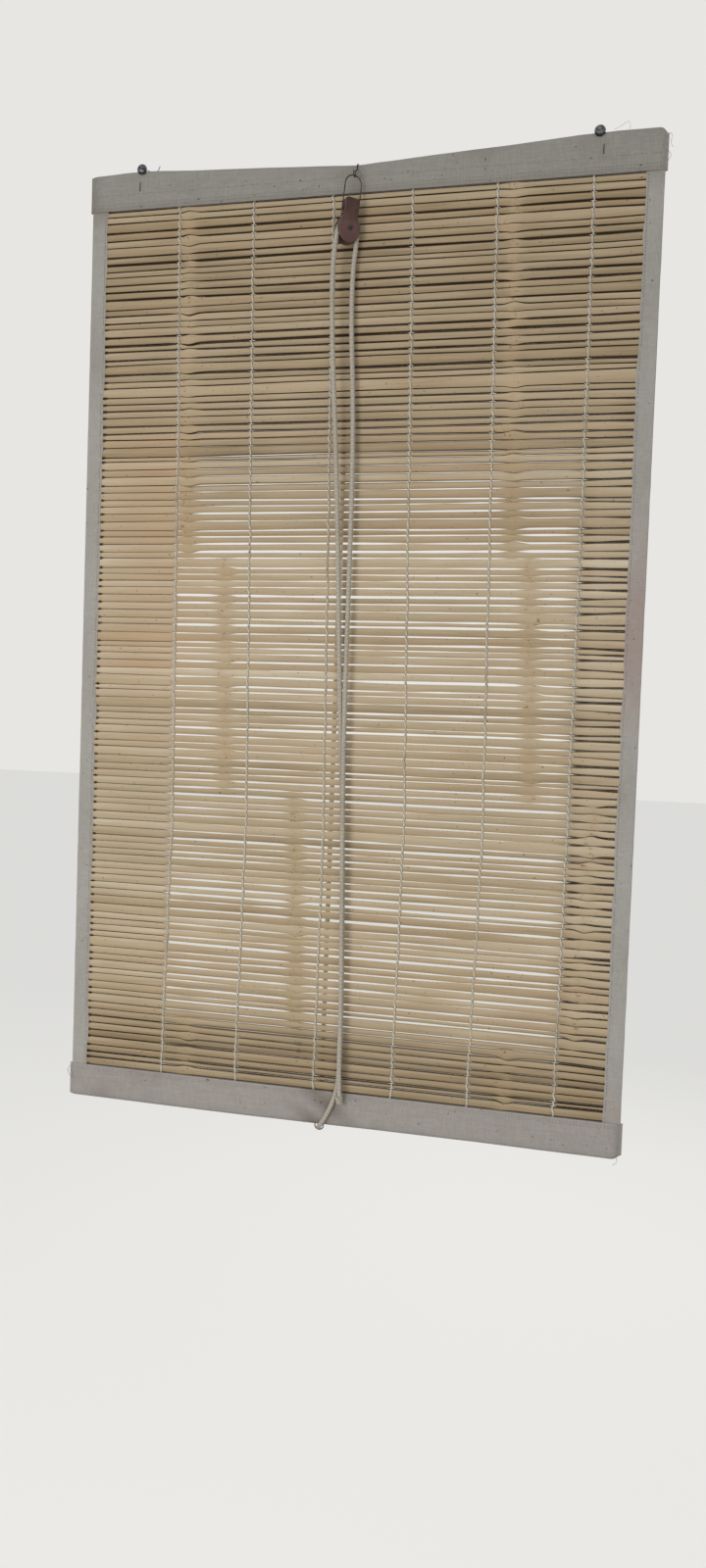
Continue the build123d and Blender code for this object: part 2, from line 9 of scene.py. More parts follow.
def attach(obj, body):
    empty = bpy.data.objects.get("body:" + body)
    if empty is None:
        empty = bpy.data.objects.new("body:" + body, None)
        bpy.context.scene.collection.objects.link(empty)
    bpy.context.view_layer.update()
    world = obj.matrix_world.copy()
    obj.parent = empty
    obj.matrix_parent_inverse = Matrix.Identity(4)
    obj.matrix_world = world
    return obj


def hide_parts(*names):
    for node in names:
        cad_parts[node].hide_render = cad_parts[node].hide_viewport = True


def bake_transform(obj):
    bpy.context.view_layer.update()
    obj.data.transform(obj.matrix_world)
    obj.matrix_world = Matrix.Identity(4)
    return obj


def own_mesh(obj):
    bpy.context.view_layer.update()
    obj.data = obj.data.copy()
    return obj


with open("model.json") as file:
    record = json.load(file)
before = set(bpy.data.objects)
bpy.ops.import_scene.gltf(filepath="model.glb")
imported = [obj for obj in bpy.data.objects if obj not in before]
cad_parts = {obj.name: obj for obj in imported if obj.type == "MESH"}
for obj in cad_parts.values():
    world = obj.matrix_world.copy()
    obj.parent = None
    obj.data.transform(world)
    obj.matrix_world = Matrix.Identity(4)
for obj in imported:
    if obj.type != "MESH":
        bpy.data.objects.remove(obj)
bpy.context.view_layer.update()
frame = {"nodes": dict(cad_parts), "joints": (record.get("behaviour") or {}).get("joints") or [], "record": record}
scene = bpy.context.scene
rng = np.random.default_rng(20)

# Sizes in millimetres, as in the part's source. X to the right, Y into the wall, Z up.
MM = 0.001
HALF_WIDTH = 550.0
TOP_Z = -4.0
BOTTOM_Z = -1834.0
MAT_Y = -18.0
MAT_TOP_Z = -74.0
MAT_BOTTOM_Z = -1768.0
ROWS = 118
PITCH = (MAT_TOP_Z - MAT_BOTTOM_Z) / ROWS
SLAT_HALF = 540.0
SLAT_BACK = -16.3
SLAT_FRONT = -19.7
CLOTH = 1.2
NAILS = (-441.0, 431.0)
HOOK = (-9.6, -43.0, -53.3)
CAMERA = (581.71, -2227.7, -1062.4)
ROPE = 9.0
# The cane's knuckles stand in columns: first and last row, and the column's place at each.
KNUCKLES = (
    (0, 46, -348.0, -327.0),
    (0, 46, 278.0, 306.0),
    (47, 77, -250.0, -236.0),
    (47, 77, 339.0, 356.0),
    (78, 109, -92.0, -76.0),
    (78, 109, 470.0, 452.0),
    (110, 117, -300.0, -304.0),
    (110, 117, 332.0, 330.0),
)
# The six warp places wander a little on the way down.
WARP_HEIGHTS = (-1700.0, -1260.0, -617.0, -60.0)
WARP_PLACES = (
    (-351.0, -343.0, -352.0, -364.0),
    (-196.0, -189.0, -202.0, -213.0),
    (-35.0, -33.0, -45.0, -55.0),
    (119.0, 124.0, 109.0, 96.0),
    (264.0, 273.0, 262.0, 252.0),
    (424.0, 427.0, 428.0, 424.0),
)
WARPS = len(WARP_PLACES)
# Edges flatter than these angles are shaded smooth.
ROUND_ANGLE = 80.0
CLOTH_ANGLE = 50.0
SLAT_ANGLE = 42.0


def step(value, low, high):
    """A smooth rise from 0 at low to 1 at high."""
    share = np.clip((np.asarray(value, float) - low) / (high - low), 0, 1)
    return share * share * (3 - 2 * share)


def band(value, low, full, fading, gone):
    """A smooth rise from low to full, and a fall from fading to gone."""
    return step(value, low, full) * (1 - step(value, fading, gone))


def hill(value, place, width):
    """A smooth hill of height 1 round a place."""
    return np.exp(-(((value - place) / width) ** 2))


def rgb(red, green, blue):
    """A display colour as the shader's own linear colour."""
    share = [c / 255 for c in (red, green, blue)]
    return tuple(c / 12.92 if c <= 0.04045 else ((c + 0.055) / 1.055) ** 2.4 for c in share) + (1.0,)


# Materials
class Shader:
    """A principled material and short names for the nodes it is made with."""

    def __init__(self, name, roughness, metallic=0.0, specular=0.35, sheen=0.0):
        self.material = bpy.data.materials.new(name)
        self.material.use_nodes = True
        self.tree = self.material.node_tree
        self.base = self.tree.nodes["Principled BSDF"]
        names = ("Roughness", "Metallic", "Specular IOR Level", "Sheen Weight")
        for socket, value in zip(names, (roughness, metallic, specular, sheen)):
            self.base.inputs[socket].default_value = value
        self.place = self.node("TexCoord").outputs["Object"]

    def put(self, value, socket):
        if isinstance(value, bpy.types.NodeSocket):
            self.tree.links.new(value, socket)
        else:
            socket.default_value = value

    def node(self, kind, **inputs):
        """A new node, with values or links put into the inputs named."""
        node = self.tree.nodes.new("ShaderNode" + kind)
        for name, value in inputs.items():
            self.put(value, node.inputs[name])
        return node

    def noise(self, scale, stretch=(1, 1, 1), detail=3.0, rough=0.55, offset=(0, 0, 0)):
        place = self.node("Mapping", Scale=stretch, Location=offset, Vector=self.place).outputs["Vector"]
        return self.node("TexNoise", Scale=scale, Detail=detail, Roughness=rough, Vector=place).outputs["Fac"]

    def wave(self, direction, scale):
        node = self.node("TexWave", Scale=scale, Distortion=2.0, Detail=2.0, Vector=self.place)
        node.bands_direction = direction
        node.inputs["Detail Scale"].default_value = 1.5
        return node.outputs["Fac"]

    def attribute(self, name):
        node = self.node("Attribute")
        node.attribute_name = name
        return node.outputs["Fac"]

    def math(self, operation, a, b, clamp=False):
        node = self.node("Math")
        node.operation = operation
        node.use_clamp = clamp
        self.put(a, node.inputs[0])
        self.put(b, node.inputs[1])
        return node.outputs[0]

    def times(self, a, b, clamp=False):
        return self.math("MULTIPLY", a, b, clamp)

    def plus(self, a, b, clamp=False):
        return self.math("ADD", a, b, clamp)

    def swing(self, value, amount):
        """How far a noise stands from its middle, times an amount."""
        return self.times(self.math("SUBTRACT", value, 0.5), amount)

    def span(self, value, low, high, to_low=0.0, to_high=1.0):
        node = self.node("MapRange", Value=value)
        node.interpolation_type = "SMOOTHSTEP"
        for name, number in zip(("From Min", "From Max", "To Min", "To Max"), (low, high, to_low, to_high)):
            node.inputs[name].default_value = number
        return node.outputs["Result"]

    def mix(self, share, a, b):
        """Two display colours or links, mixed."""
        node = self.node("Mix")
        node.data_type = "RGBA"
        self.put(share, node.inputs[0])
        for value, socket in ((a, node.inputs[6]), (b, node.inputs[7])):
            self.put(rgb(*value) if isinstance(value, tuple) else value, socket)
        return node.outputs[2]

    def tint(self, share, *colour):
        """A share of a display colour over the colour so far."""
        self.colour = self.mix(share, self.colour, colour)

    def ramp(self, value, *stops):
        """Display colours by place: each stop is a place and a red, green and blue."""
        node = self.node("ValToRGB", Fac=value)
        points = node.color_ramp.elements
        while len(points) < len(stops):
            points.new(0.5)
        for point, (place, *colour) in zip(points, stops):
            point.position = place
            point.color = rgb(*colour)
        return node.outputs["Color"]

    def finish(self, height, strength, depth, rough=None):
        self.put(self.colour, self.base.inputs["Base Color"])
        if rough is not None:
            self.put(rough, self.base.inputs["Roughness"])
        bump = self.node("Bump", Strength=strength, Distance=depth, Height=height)
        self.put(bump.outputs["Normal"], self.base.inputs["Normal"])
        return self.material


def bamboo_front():
    """Split cane: long fibres, each slat's own tone with painted shading in it, dark edges painted as shade in the
    grooves, golden knuckles and a few stains.
    """
    s = Shader("bamboo_front", 0.62, specular=0.3)
    fibre = s.noise(260, (0.035, 1, 1), detail=4.0)
    fine = s.noise(900, (0.02, 1, 1), detail=2.0)
    slow = s.noise(5.5, (1, 1, 0.7), detail=2.0)
    tone = s.plus(s.attribute("tone"), s.swing(fibre, 0.6))
    tone = s.plus(tone, s.swing(slow, 0.22), clamp=True)
    dark_stops = ((0.0, 124, 106, 79), (0.28, 153, 134, 104), (0.55, 179, 160, 130))
    s.colour = s.ramp(tone, *dark_stops, (0.8, 194, 177, 149), (1.0, 210, 196, 171))
    s.tint(s.times(s.attribute("hue"), 0.5, clamp=True), 190, 150, 110)
    green = s.span(s.noise(9, (0.5, 1, 6), offset=(3, 1, 2)), 0.58, 0.72, 0, 0.22)
    s.tint(green, 148, 146, 106)
    grain = s.noise(190, (0.8, 1, 1.3), detail=3.0)
    s.tint(s.times(s.attribute("knuckle"), 0.42), 178, 155, 120)
    mark = s.times(s.span(grain, 0.56, 0.66), s.span(s.attribute("scar"), 0.2, 0.9, 0, 0.75))
    s.tint(mark, 108, 80, 50)
    speck = s.span(s.noise(210, detail=1.0, offset=(7, 7, 7)), 0.735, 0.76, 0, 0.8)
    s.tint(speck, 58, 44, 28)
    # Painted shade: the edge values darken the grooves beside the gaps.
    edge = s.span(s.plus(s.attribute("edge"), s.swing(fibre, 0.5)), 0.25, 0.95, 0, 0.92)
    s.tint(edge, 64, 49, 31)
    height = s.plus(s.times(fibre, 0.7), s.times(fine, 0.3))
    return s.finish(height, 0.5, 0.0006, s.span(fibre, 0.3, 0.7, 0.5, 0.72))


def bamboo_side():
    """The slats' split edges, painted dark as shade in the closed gaps and painted pale as light where it comes
    through the open gaps.
    """
    s = Shader("bamboo_side", 0.9, specular=0.15)
    fibre = s.noise(300, (0.05, 1, 1), detail=3.0)
    dark = s.ramp(fibre, (0.25, 40, 30, 18), (0.6, 56, 43, 27), (0.85, 78, 61, 40))
    painted_light = s.ramp(fibre, (0.25, 190, 166, 122), (0.7, 232, 214, 176))
    s.colour = s.mix(s.attribute("lit"), dark, painted_light)
    return s.finish(fibre, 0.4, 0.0005)


def bamboo_back():
    """The paler pith side of the split cane."""
    s = Shader("bamboo_back", 0.85, specular=0.15)
    fibre = s.noise(320, (0.04, 1, 1), detail=4.0)
    tone = s.plus(s.attribute("tone"), s.swing(fibre, 1.1), clamp=True)
    s.colour = s.ramp(tone, (0.0, 128, 106, 74), (0.5, 188, 170, 134), (1.0, 214, 200, 170))
    # Painted shade at the edges, from the same edge values as the front.
    s.tint(s.span(s.attribute("edge"), 0.5, 1.0, 0, 0.6), 92, 72, 46)
    s.tint(s.times(s.attribute("knuckle"), 0.5), 150, 118, 72)
    return s.finish(fibre, 0.6, 0.0008)


def cloth(name, light, dark, dirt, red=False):
    """Coarse plain-weave canvas with uneven threads, grime in patches, small dark specks, and darkening from
    vertex values that is dirt in places and painted shade in others.
    """
    s = Shader(name, 0.92, specular=0.12, sheen=0.15)
    weave = s.times(s.plus(s.wave("X", 145), s.wave("Z", 145)), 0.5)
    slub = s.noise(420, (0.12, 1, 1), detail=2.0)
    slub_down = s.noise(420, (1, 1, 0.12), detail=2.0, offset=(5, 2, 9))
    yarn = s.times(s.plus(slub, slub_down), 0.5)
    s.colour = s.mix(s.span(yarn, 0.38, 0.62), dark, light)
    s.colour = s.mix(s.times(weave, 0.22), s.colour, s.mix(0.5, dark, (110, 104, 96)))
    grime = s.span(s.noise(7, detail=5.0, rough=0.65), 0.5, 0.74, 0, 0.55)
    s.tint(grime, *dirt)
    # The vertex values darken the cloth: painted shade along the top hem's lower edge and on the tapes just below
    # it, and darker patches elsewhere.
    s.tint(s.times(s.attribute("dirt"), 0.8, clamp=True), 112, 103, 92)
    speck = s.span(s.noise(150, detail=1.0, offset=(4, 8, 1)), 0.745, 0.77, 0, 0.75)
    s.tint(speck, 70, 60, 50)
    if red:
        blotch = s.span(s.noise(9, (1, 1, 0.6), detail=3.0, offset=(1, 1, 3)), 0.34, 0.6, 0.35, 1.0)
        stain = s.times(s.times(s.attribute("stain"), blotch), 0.34)
        s.tint(stain, 160, 124, 116)
    return s.finish(s.plus(s.times(weave, 0.6), s.times(yarn, 0.6)), 0.55, 0.0009)


def thread_material(name, light, dark, scale):
    """Twisted cotton: short slanted fibres and a dusty side."""
    s = Shader(name, 0.9, specular=0.12, sheen=0.2)
    fibre = s.noise(scale, (1, 1, 0.35), detail=4.0)
    dust = s.noise(14, detail=3.0, offset=(2, 6, 4))
    s.colour = s.mix(s.span(fibre, 0.35, 0.65), dark, light)
    s.tint(s.span(dust, 0.5, 0.75, 0, 0.5), 136, 124, 104)
    return s.finish(fibre, 0.6, 0.0007)


def rope_material():
    """Plaited cotton rope with painted shade in the plait's valleys, greyed by hands in patches."""
    s = Shader("rope", 0.88, specular=0.15, sheen=0.2)
    plait = s.attribute("plait")
    fibre = s.noise(700, (1, 1, 0.3), detail=3.0)
    wear = s.noise(10, (1, 1, 0.6), detail=4.0)
    # Painted shade: darker in the plait's valleys and lighter on its ridges.
    s.colour = s.mix(s.span(plait, -0.9, 0.9), (158, 150, 136), (186, 179, 165))
    s.tint(s.span(fibre, 0.35, 0.65, 0, 0.35), 206, 199, 184)
    s.tint(s.span(wear, 0.48, 0.75, 0, 0.6), 146, 136, 120)
    return s.finish(s.plus(s.times(plait, 0.3), s.times(fibre, 0.6)), 0.45, 0.0006)


def metal(name, light, dark, roughness, metallic):
    """Dull drawn steel with tarnish."""
    s = Shader(name, roughness, metallic, specular=0.5)
    tarnish = s.noise(160, detail=5.0, rough=0.7)
    s.colour = s.mix(s.span(tarnish, 0.38, 0.66), dark, light)
    scratch = s.noise(500, (1, 1, 0.2), detail=2.0)
    dull = s.span(tarnish, 0.3, 0.7, roughness + 0.2, roughness - 0.08)
    return s.finish(scratch, 0.25, 0.0003, dull)


def block_material(name, light, dark, edge_colour):
    """Dark brown moulded block, paler along its sharp edges and in thin upright streaks."""
    s = Shader(name, 0.5, specular=0.28)
    cloud = s.noise(60, detail=5.0, rough=0.65)
    s.colour = s.mix(s.span(cloud, 0.36, 0.66), dark, light)
    streak = s.noise(260, (1, 1, 0.08), detail=3.0)
    s.tint(s.span(streak, 0.6, 0.72, 0, 0.5), *edge_colour)
    point = s.node("NewGeometry").outputs["Pointiness"]
    s.tint(s.span(point, 0.53, 0.6, 0, 0.8), *edge_colour)
    height = s.plus(cloud, s.times(streak, 0.6))
    return s.finish(height, 0.25, 0.0006, s.span(cloud, 0.3, 0.7, 0.55, 0.32))


def wood_material():
    """Planed raw wood for the strips inside the hems."""
    s = Shader("batten_wood", 0.75, specular=0.2)
    ring = s.noise(46, (0.05, 1, 1), detail=5.0, rough=0.65)
    s.colour = s.ramp(ring, (0.3, 150, 112, 70), (0.5, 188, 152, 104), (0.7, 205, 174, 128))
    return s.finish(ring, 0.4, 0.0006)


FRONT = bamboo_front()
SIDE = bamboo_side()
BACK = bamboo_back()
CANVAS = cloth("canvas", (161, 158, 151), (152, 149, 141), (134, 130, 121))
TAPE = cloth("tape", (178, 175, 168), (169, 165, 158), (150, 146, 138), red=True)
# The bottom hem's canvas: painted light makes it lighter than the top hem's, and it is a little more mauve.
CANVAS_LOW_PAINTED_LIGHT = cloth("canvas_low_painted_light", (171, 165, 160), (162, 155, 150), (142, 134, 128))
STITCH = thread_material("stitch", (150, 143, 131), (112, 104, 92), 900)
WARP = thread_material("warp_thread", (216, 210, 196), (180, 171, 152), 800)
ROPE_LOOK = rope_material()
STEEL = metal("nail_steel", (124, 126, 128), (58, 58, 60), 0.34, 0.85)
WIRE = metal("dark_wire", (88, 86, 82), (44, 42, 40), 0.42, 0.7)
BLOCK = block_material("block", (74, 46, 41), (46, 28, 25), (108, 80, 73))
SHEAVE = block_material("sheave", (66, 48, 41), (38, 28, 25), (112, 96, 86))
WOOD = wood_material()


# Mesh making
class Parts:
    """Vertices, faces, material numbers and vertex values of one piece, gathered from several lofts."""

    def __init__(self):
        self.points = []
        self.faces = []
        self.which = []
        self.values = {}
        self.count = 0

    def add(self, points, faces, which=0, **values):
        points = np.asarray(points, float).reshape(-1, 3)
        self.points.append(points)
        self.faces += [tuple(i + self.count for i in face) for face in faces]
        self.which += [which] * len(faces) if isinstance(which, int) else list(which)
        for key, value in values.items():
            whole = np.full(len(points), float(value)) if np.ndim(value) == 0 else np.ravel(value)
            self.values.setdefault(key, []).append(whole)
        self.count += len(points)

    def piece(self, name, materials, angle):
        mesh = bpy.data.meshes.new(name)
        mesh.from_pydata((np.concatenate(self.points) * MM).tolist(), [], self.faces)
        for material in materials:
            mesh.materials.append(material)
        mesh.polygons.foreach_set("material_index", np.asarray(self.which, np.int32))
        for key, value in self.values.items():
            layer = mesh.attributes.new(key, "FLOAT", "POINT")
            layer.data.foreach_set("value", np.concatenate(value).astype(np.float32))
        work = bmesh.new()
        work.from_mesh(mesh)
        bmesh.ops.recalc_face_normals(work, faces=work.faces)
        work.to_mesh(mesh)
        work.free()
        mesh.polygons.foreach_set("use_smooth", np.ones(len(mesh.polygons), bool))
        mesh.set_sharp_from_angle(angle=math.radians(angle))
        obj = bpy.data.objects.new(name, mesh)
        scene.collection.objects.link(obj)
        return obj


def faces_of(*corners):
    """Faces as tuples, from arrays that hold one corner of each."""
    return [tuple(face) for face in np.stack([np.ravel(c) for c in corners], axis=1).tolist()]


def loft_faces(rings, sides):
    """Faces of a closed section carried through a row of rings, with both ends capped."""
    at = np.arange(rings * sides).reshape(rings, sides)
    turned = np.roll(at, -1, axis=1)
    walls = faces_of(at[:-1], turned[:-1], turned[1:], at[1:])
    return walls + [tuple(at[0].tolist()), tuple(at[-1, ::-1].tolist())]


def ribbon(outer, inner):
    """A strip of cloth with thickness: an outer and an inner grid of points, joined round their borders."""
    at = np.arange(outer[..., 0].size).reshape(outer.shape[:2])
    under = at + at.size
    faces = faces_of(at[:-1, :-1], at[:-1, 1:], at[1:, 1:], at[1:, :-1])
    faces += faces_of(under[:-1, :-1], under[1:, :-1], under[1:, 1:], under[:-1, 1:])
    for end in (0, -1):
        faces += faces_of(at[:-1, end], at[1:, end], under[1:, end], under[:-1, end])
        faces += faces_of(at[end, :-1], under[end, :-1], under[end, 1:], at[end, 1:])
    return np.concatenate([outer.reshape(-1, 3), inner.reshape(-1, 3)]), faces


def ring_angles(sides):
    return np.linspace(0, 2 * math.pi, sides, endpoint=False)


def tube(parts, at, across, radius, sides, **values):
    """A closed tube round the places of a line, given the line's two cross directions at each."""
    angle = ring_angles(sides)[None, :, None]
    outward = np.cos(angle) * across[0][:, None, :] + np.sin(angle) * across[1][:, None, :]
    rings = at[:, None, :] + np.asarray(radius)[..., None] * outward
    parts.add(rings, loft_faces(len(at), sides), **values)


def stand_for(piece, node, body=None):
    """A piece takes a CAD node's place, and rides on a body when one is given."""
    if body:
        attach(piece, body)
    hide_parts(node)


# Camera, at the photograph's own place and lens
camera_data = bpy.data.cameras.new("camera")
camera_data.sensor_width = 36.0
camera_data.lens = 27.5625
camera_data.clip_end = 100.0
camera = bpy.data.objects.new("camera", camera_data)
scene.collection.objects.link(camera)
# Rows: the camera's right, up and back.
turn = Matrix((
    (0.96837428, 0.24693806, 0.03567695),
    (-0.04657151, 0.03841767, 0.99817592),
    (0.245117, -0.96826942, 0.04870296),
))
camera.matrix_world = Matrix.Translation(Vector(CAMERA) * MM) @ turn.transposed().to_4x4()
scene.camera = camera


# Cords. The route points repeat the part's source.
LOOP_SEAT = 2.25
PULLEY_LEAN = 5.7
PULLEY_TWIST = 38.0
LEG_X = 20.5
LEG_Z = -141.0
LEG_ONWARD = 60.0
BIGHT_X = 22.0
BIGHT_Z = -73.9
BACK_TOP_Z = -56.5
FOOT_GAP = 0.3
BEHIND_Y = -9.0


def pulley_place(x, y, z):
    """A point given in the pulley's own leaning, turned place."""
    place = Matrix.Translation((HOOK[0], HOOK[1], HOOK[2] + LOOP_SEAT))
    place = place @ Matrix.Rotation(math.radians(PULLEY_LEAN), 4, "Y")
    return tuple(place @ Matrix.Rotation(math.radians(PULLEY_TWIST), 4, "Z") @ Vector((x, y, z)))


def route_points(name, points):
    """The points of a smooth spline whose control points are the route's."""
    curve = bpy.data.curves.new(name, "CURVE")
    curve.dimensions = "3D"
    spline = curve.splines.new("NURBS")
    spline.points.add(len(points) - 1)
    for point, place in zip(spline.points, points):
        point.co = (*[c * MM for c in place], 1.0)
    spline.order_u = 3
    spline.use_endpoint_u = True
    spline.resolution_u = 40
    curve.resolution_u = 40
    holder = bpy.data.objects.new(name, curve)
    scene.collection.objects.link(holder)
    bpy.context.view_layer.update()
    mesh = bpy.data.meshes.new_from_object(holder)
    line = np.array([v.co for v in mesh.vertices]) / MM
    bpy.data.meshes.remove(mesh)
    bpy.data.objects.remove(holder)
    return line


def along(line, spacing):
    """Places at even steps on a line, two cross directions that don't twist, and the distance gone."""
    gone = np.concatenate([[0], np.cumsum(np.linalg.norm(np.diff(line, axis=0), axis=1))])
    keep = np.concatenate([[True], np.diff(gone) > 1e-6])
    line, gone = line[keep], gone[keep]
    places = np.linspace(0, gone[-1], max(4, int(gone[-1] / spacing)))
    at = np.stack([np.interp(places, gone, line[:, i]) for i in range(3)], axis=1)
    way = np.gradient(at, axis=0)
    way /= np.linalg.norm(way, axis=1)[:, None]
    first = np.cross(way[0], (0.0, 1.0, 0.0))
    if np.linalg.norm(first) < 0.2:
        first = np.cross(way[0], (1.0, 0.0, 0.0))
    first /= np.linalg.norm(first)
    sides = [first]
    for a in way[1:]:
        side = sides[-1] - a * np.dot(sides[-1], a)
        sides.append(side / np.linalg.norm(side))
    sides = np.array(sides)
    return at, (sides, np.cross(way, sides)), places


def rope_tube(parts, line, spacing, radius, valley, rise, sides, ridges, pitch):
    """A tube on a line with crossing helical ridges that rise from its valleys, as shares of its radius."""
    at, across, gone = along(line, spacing)
    angle = ridges * ring_angles(sides)[None, :]
    turns = 2 * math.pi * gone[:, None] / pitch
    plait = np.cos(angle + turns) * np.cos(angle - turns)
    tube(parts, at, across, radius * (valley + rise * plait), sides, plait=plait)


def plaited(line, name, node, body=None, spacing=2.2):
    """A piece of the plaited rope, on a line, for a CAD node."""
    parts = Parts()
    rope_tube(parts, line, spacing, ROPE / 2, 0.975, 0.035, sides=16, ridges=4, pitch=15.0)
    piece = parts.piece(name, [ROPE_LOOK], ROUND_ANGLE)
    stand_for(piece, node, body)
    return piece


left_leg = pulley_place(-LEG_X, 0, LEG_Z)
right_leg = pulley_place(LEG_X, 0, LEG_Z)
LONG_ROUTE = [
    left_leg,
    pulley_place(-LEG_X, 0, LEG_Z - LEG_ONWARD),
    (-22.5, -42.6, -614.0),
    (-5.5, -33.5, -1014.0),
    (10.5, -30.4, -1294.0),
    (18.0, -30.2, -1574.0),
    (18.9, -30.1, -1722.0),
    (13.5, -30.1, -1770.0),
    (-5.0, -30.1, -1815.0),
    (-21.2, -30.15, -1839.7),
    (-22.0, -5.85, -1839.7),
    (-22.0, -5.85, -1815.4),
    (-22.0, -5.85, BACK_TOP_Z),
]
PULL_ROUTE = [
    right_leg,
    pulley_place(LEG_X, 0, LEG_Z - LEG_ONWARD),
    (4.2, -33.3, -524.0),
    (5.0, -37.3, -864.0),
    (6.6, -39.8, -1134.0),
    (20.2, -39.8, -1614.0),
    (19.6, -39.6, -1722.0),
    (22.6, -38.4, -1770.0),
]
BIGHT_ROUTE = [left_leg, pulley_place(-BIGHT_X, 0, BIGHT_Z), pulley_place(BIGHT_X, 0, BIGHT_Z), right_leg]
long_line = route_points("long_route", LONG_ROUTE)
pull_line = route_points("pull_route", PULL_ROUTE)
bight_line = route_points("bight_route", BIGHT_ROUTE)
first_foot = int(np.argmax(long_line[:, 2] < MAT_BOTTOM_Z - FOOT_GAP))
first_back = int(np.argmax(long_line[:, 1] > BEHIND_Y))
lift_line = long_line[: first_foot + 1]
foot_line = long_line[first_foot : first_back + 1]
back_line = long_line[first_back:]

lift_run = plaited(lift_line, "rope_lift", "rope_lift_run", "blind_top")
foot_run = plaited(foot_line, "rope_foot_piece", "rope_foot", "bottom_bar")
back_run = plaited(back_line, "rope_back", "rope_back_run", "blind_top", spacing=3.0)
pull_run = plaited(pull_line, "rope_pull", "rope_pull_run", "blind_top")
bight = plaited(bight_line, "rope_bight_piece", "rope_over_sheave")
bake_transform(bight)
roll_joints = sorted((j for j in frame["joints"] if j["name"].startswith("roll_")), key=lambda j: j["name"])
for piece, top in ((lift_run, left_leg[2]), (pull_run, right_leg[2]), (back_run, BACK_TOP_Z)):
    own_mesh(piece)


# Knots: the rope's own turns, pulled tight
KNOT_TURNS = 3
STEPS_A_TURN = 8
KNOT_SPREAD = 1.1
# The turn laid slantwise over the others, as shares of the knot's size.
OVER_TURN = (
    (-0.42, 0.1, 0.3),
    (-0.3, -0.44, 0.26),
    (0.05, -0.56, -0.02),
    (0.34, -0.42, -0.3),
    (0.4, 0.1, -0.34),
)


def knot_piece(name, centre, size, strand, lean, tail=()):
    """Tight turns of rope round a centre, one laid over the others, and a short tail where there is one."""
    wide, deep, high = size
    steps = KNOT_TURNS * STEPS_A_TURN
    turns = []
    for i in range(steps + 1):
        angle = 2 * math.pi * i / STEPS_A_TURN
        z = (i / steps - 0.5) * (high - 2 * strand) + lean * math.sin(angle)
        uneven = 1.0 + 0.06 * math.sin(5.1 * i)
        turns.append((
            centre[0] + (wide / 2 - strand) * KNOT_SPREAD * uneven * math.cos(angle),
            centre[1] + (deep / 2 - strand) * KNOT_SPREAD * uneven * math.sin(angle),
            centre[2] + z,
        ))
    over = [tuple(c + s * d for c, s, d in zip(centre, share, size)) for share in OVER_TURN]
    parts = Parts()
    for number, points in enumerate([turns, over] + ([tail] if tail else [])):
        line = route_points(f"{name}_{number}", points)
        rope_tube(parts, line, 1.6, strand, 0.96, 0.05, sides=12, ridges=3, pitch=10.0)
    return parts.piece(name, [ROPE_LOOK], ROUND_ANGLE)


TOP_TAIL = [(-15.0, -5.9, -44.0), (-12.0, -5.2, -50.0), (-12.8, -5.0, -58.0)]
front_knot = knot_piece("knot_front", (21.6, -33.7, -1778.3), (13.6, 15.4, 18.0), 3.2, 1.4)
top_knot = knot_piece("knot_top", (-22.0, -5.9, -48.0), (19.0, 9.6, 17.0), 2.7, 0.8, TOP_TAIL)
stand_for(front_knot, "rope_knot", "bottom_bar")
stand_for(top_knot, "rope_top_knot", "blind_top")


# The mat's rows and the gaps between them
hinge_heights = [j["pos_m"][2] / MM for j in roll_joints]
hinge_rows = [int(round((MAT_TOP_Z - z) / PITCH)) for z in hinge_heights]
spans = [("blind_top", 0, hinge_rows[0])]
for number, joint in enumerate(roll_joints[:-1]):
    spans.append((joint["child"], hinge_rows[number], hinge_rows[number + 1]))

row_depth = np.arange(ROWS) * PITCH
# Each gap's line: its shift, slope and wave. It is calm at the mat's ends and at the hinges.
line_shift = np.clip(rng.normal(0, 2.1, ROWS + 1), -3.4, 3.4)
line_slope = rng.normal(0, 1.3, ROWS + 1)
line_wave = rng.uniform(0.2, 0.75, ROWS + 1)
line_phase = rng.uniform(0, 2 * math.pi, ROWS + 1)
line_length = rng.uniform(420, 900, ROWS + 1)
calm = np.ones(ROWS + 1)
calm[[0, ROWS]] = 0.0
calm[hinge_rows] = np.minimum(calm[hinge_rows], 0.45)
# Each gap's width and its ripple, and how slats fan out near the right edge.
openness = np.clip(rng.lognormal(-0.02, 0.45, ROWS + 1), 0.3, 2.0)
ripple = rng.normal(0, 1, (ROWS + 1, 19))
fan = rng.normal(0, 1.5, ROWS + 1)
# Each slat's colour, with painted shade darkening the top rows, and darker at the bottom.
slat_tone = np.clip(0.56 + rng.normal(0, 0.075, ROWS), 0.25, 0.85)
slat_tone -= 0.14 * (1 - step(row_depth, 120, 560)) + 0.22 * step(row_depth, 1480, 1660)
slat_hue = np.clip(rng.normal(0.04, 0.12, ROWS), 0, 0.45)
slat_drift = rng.normal(0, 1, (ROWS, 9))
# Each slat's two knuckles, and how far they bend the gap above.
knuckle_shift = rng.normal(0, 6.0, (ROWS, 2))
knuckle_size = rng.uniform(7.0, 17.0, (ROWS, 2))
knuckle_tint = rng.uniform(0.25, 1.0, (ROWS, 2))
scar_depth = rng.uniform(0, 1.1, (ROWS, 2))
kink = rng.normal(0, 1.9, (ROWS + 1, 2))
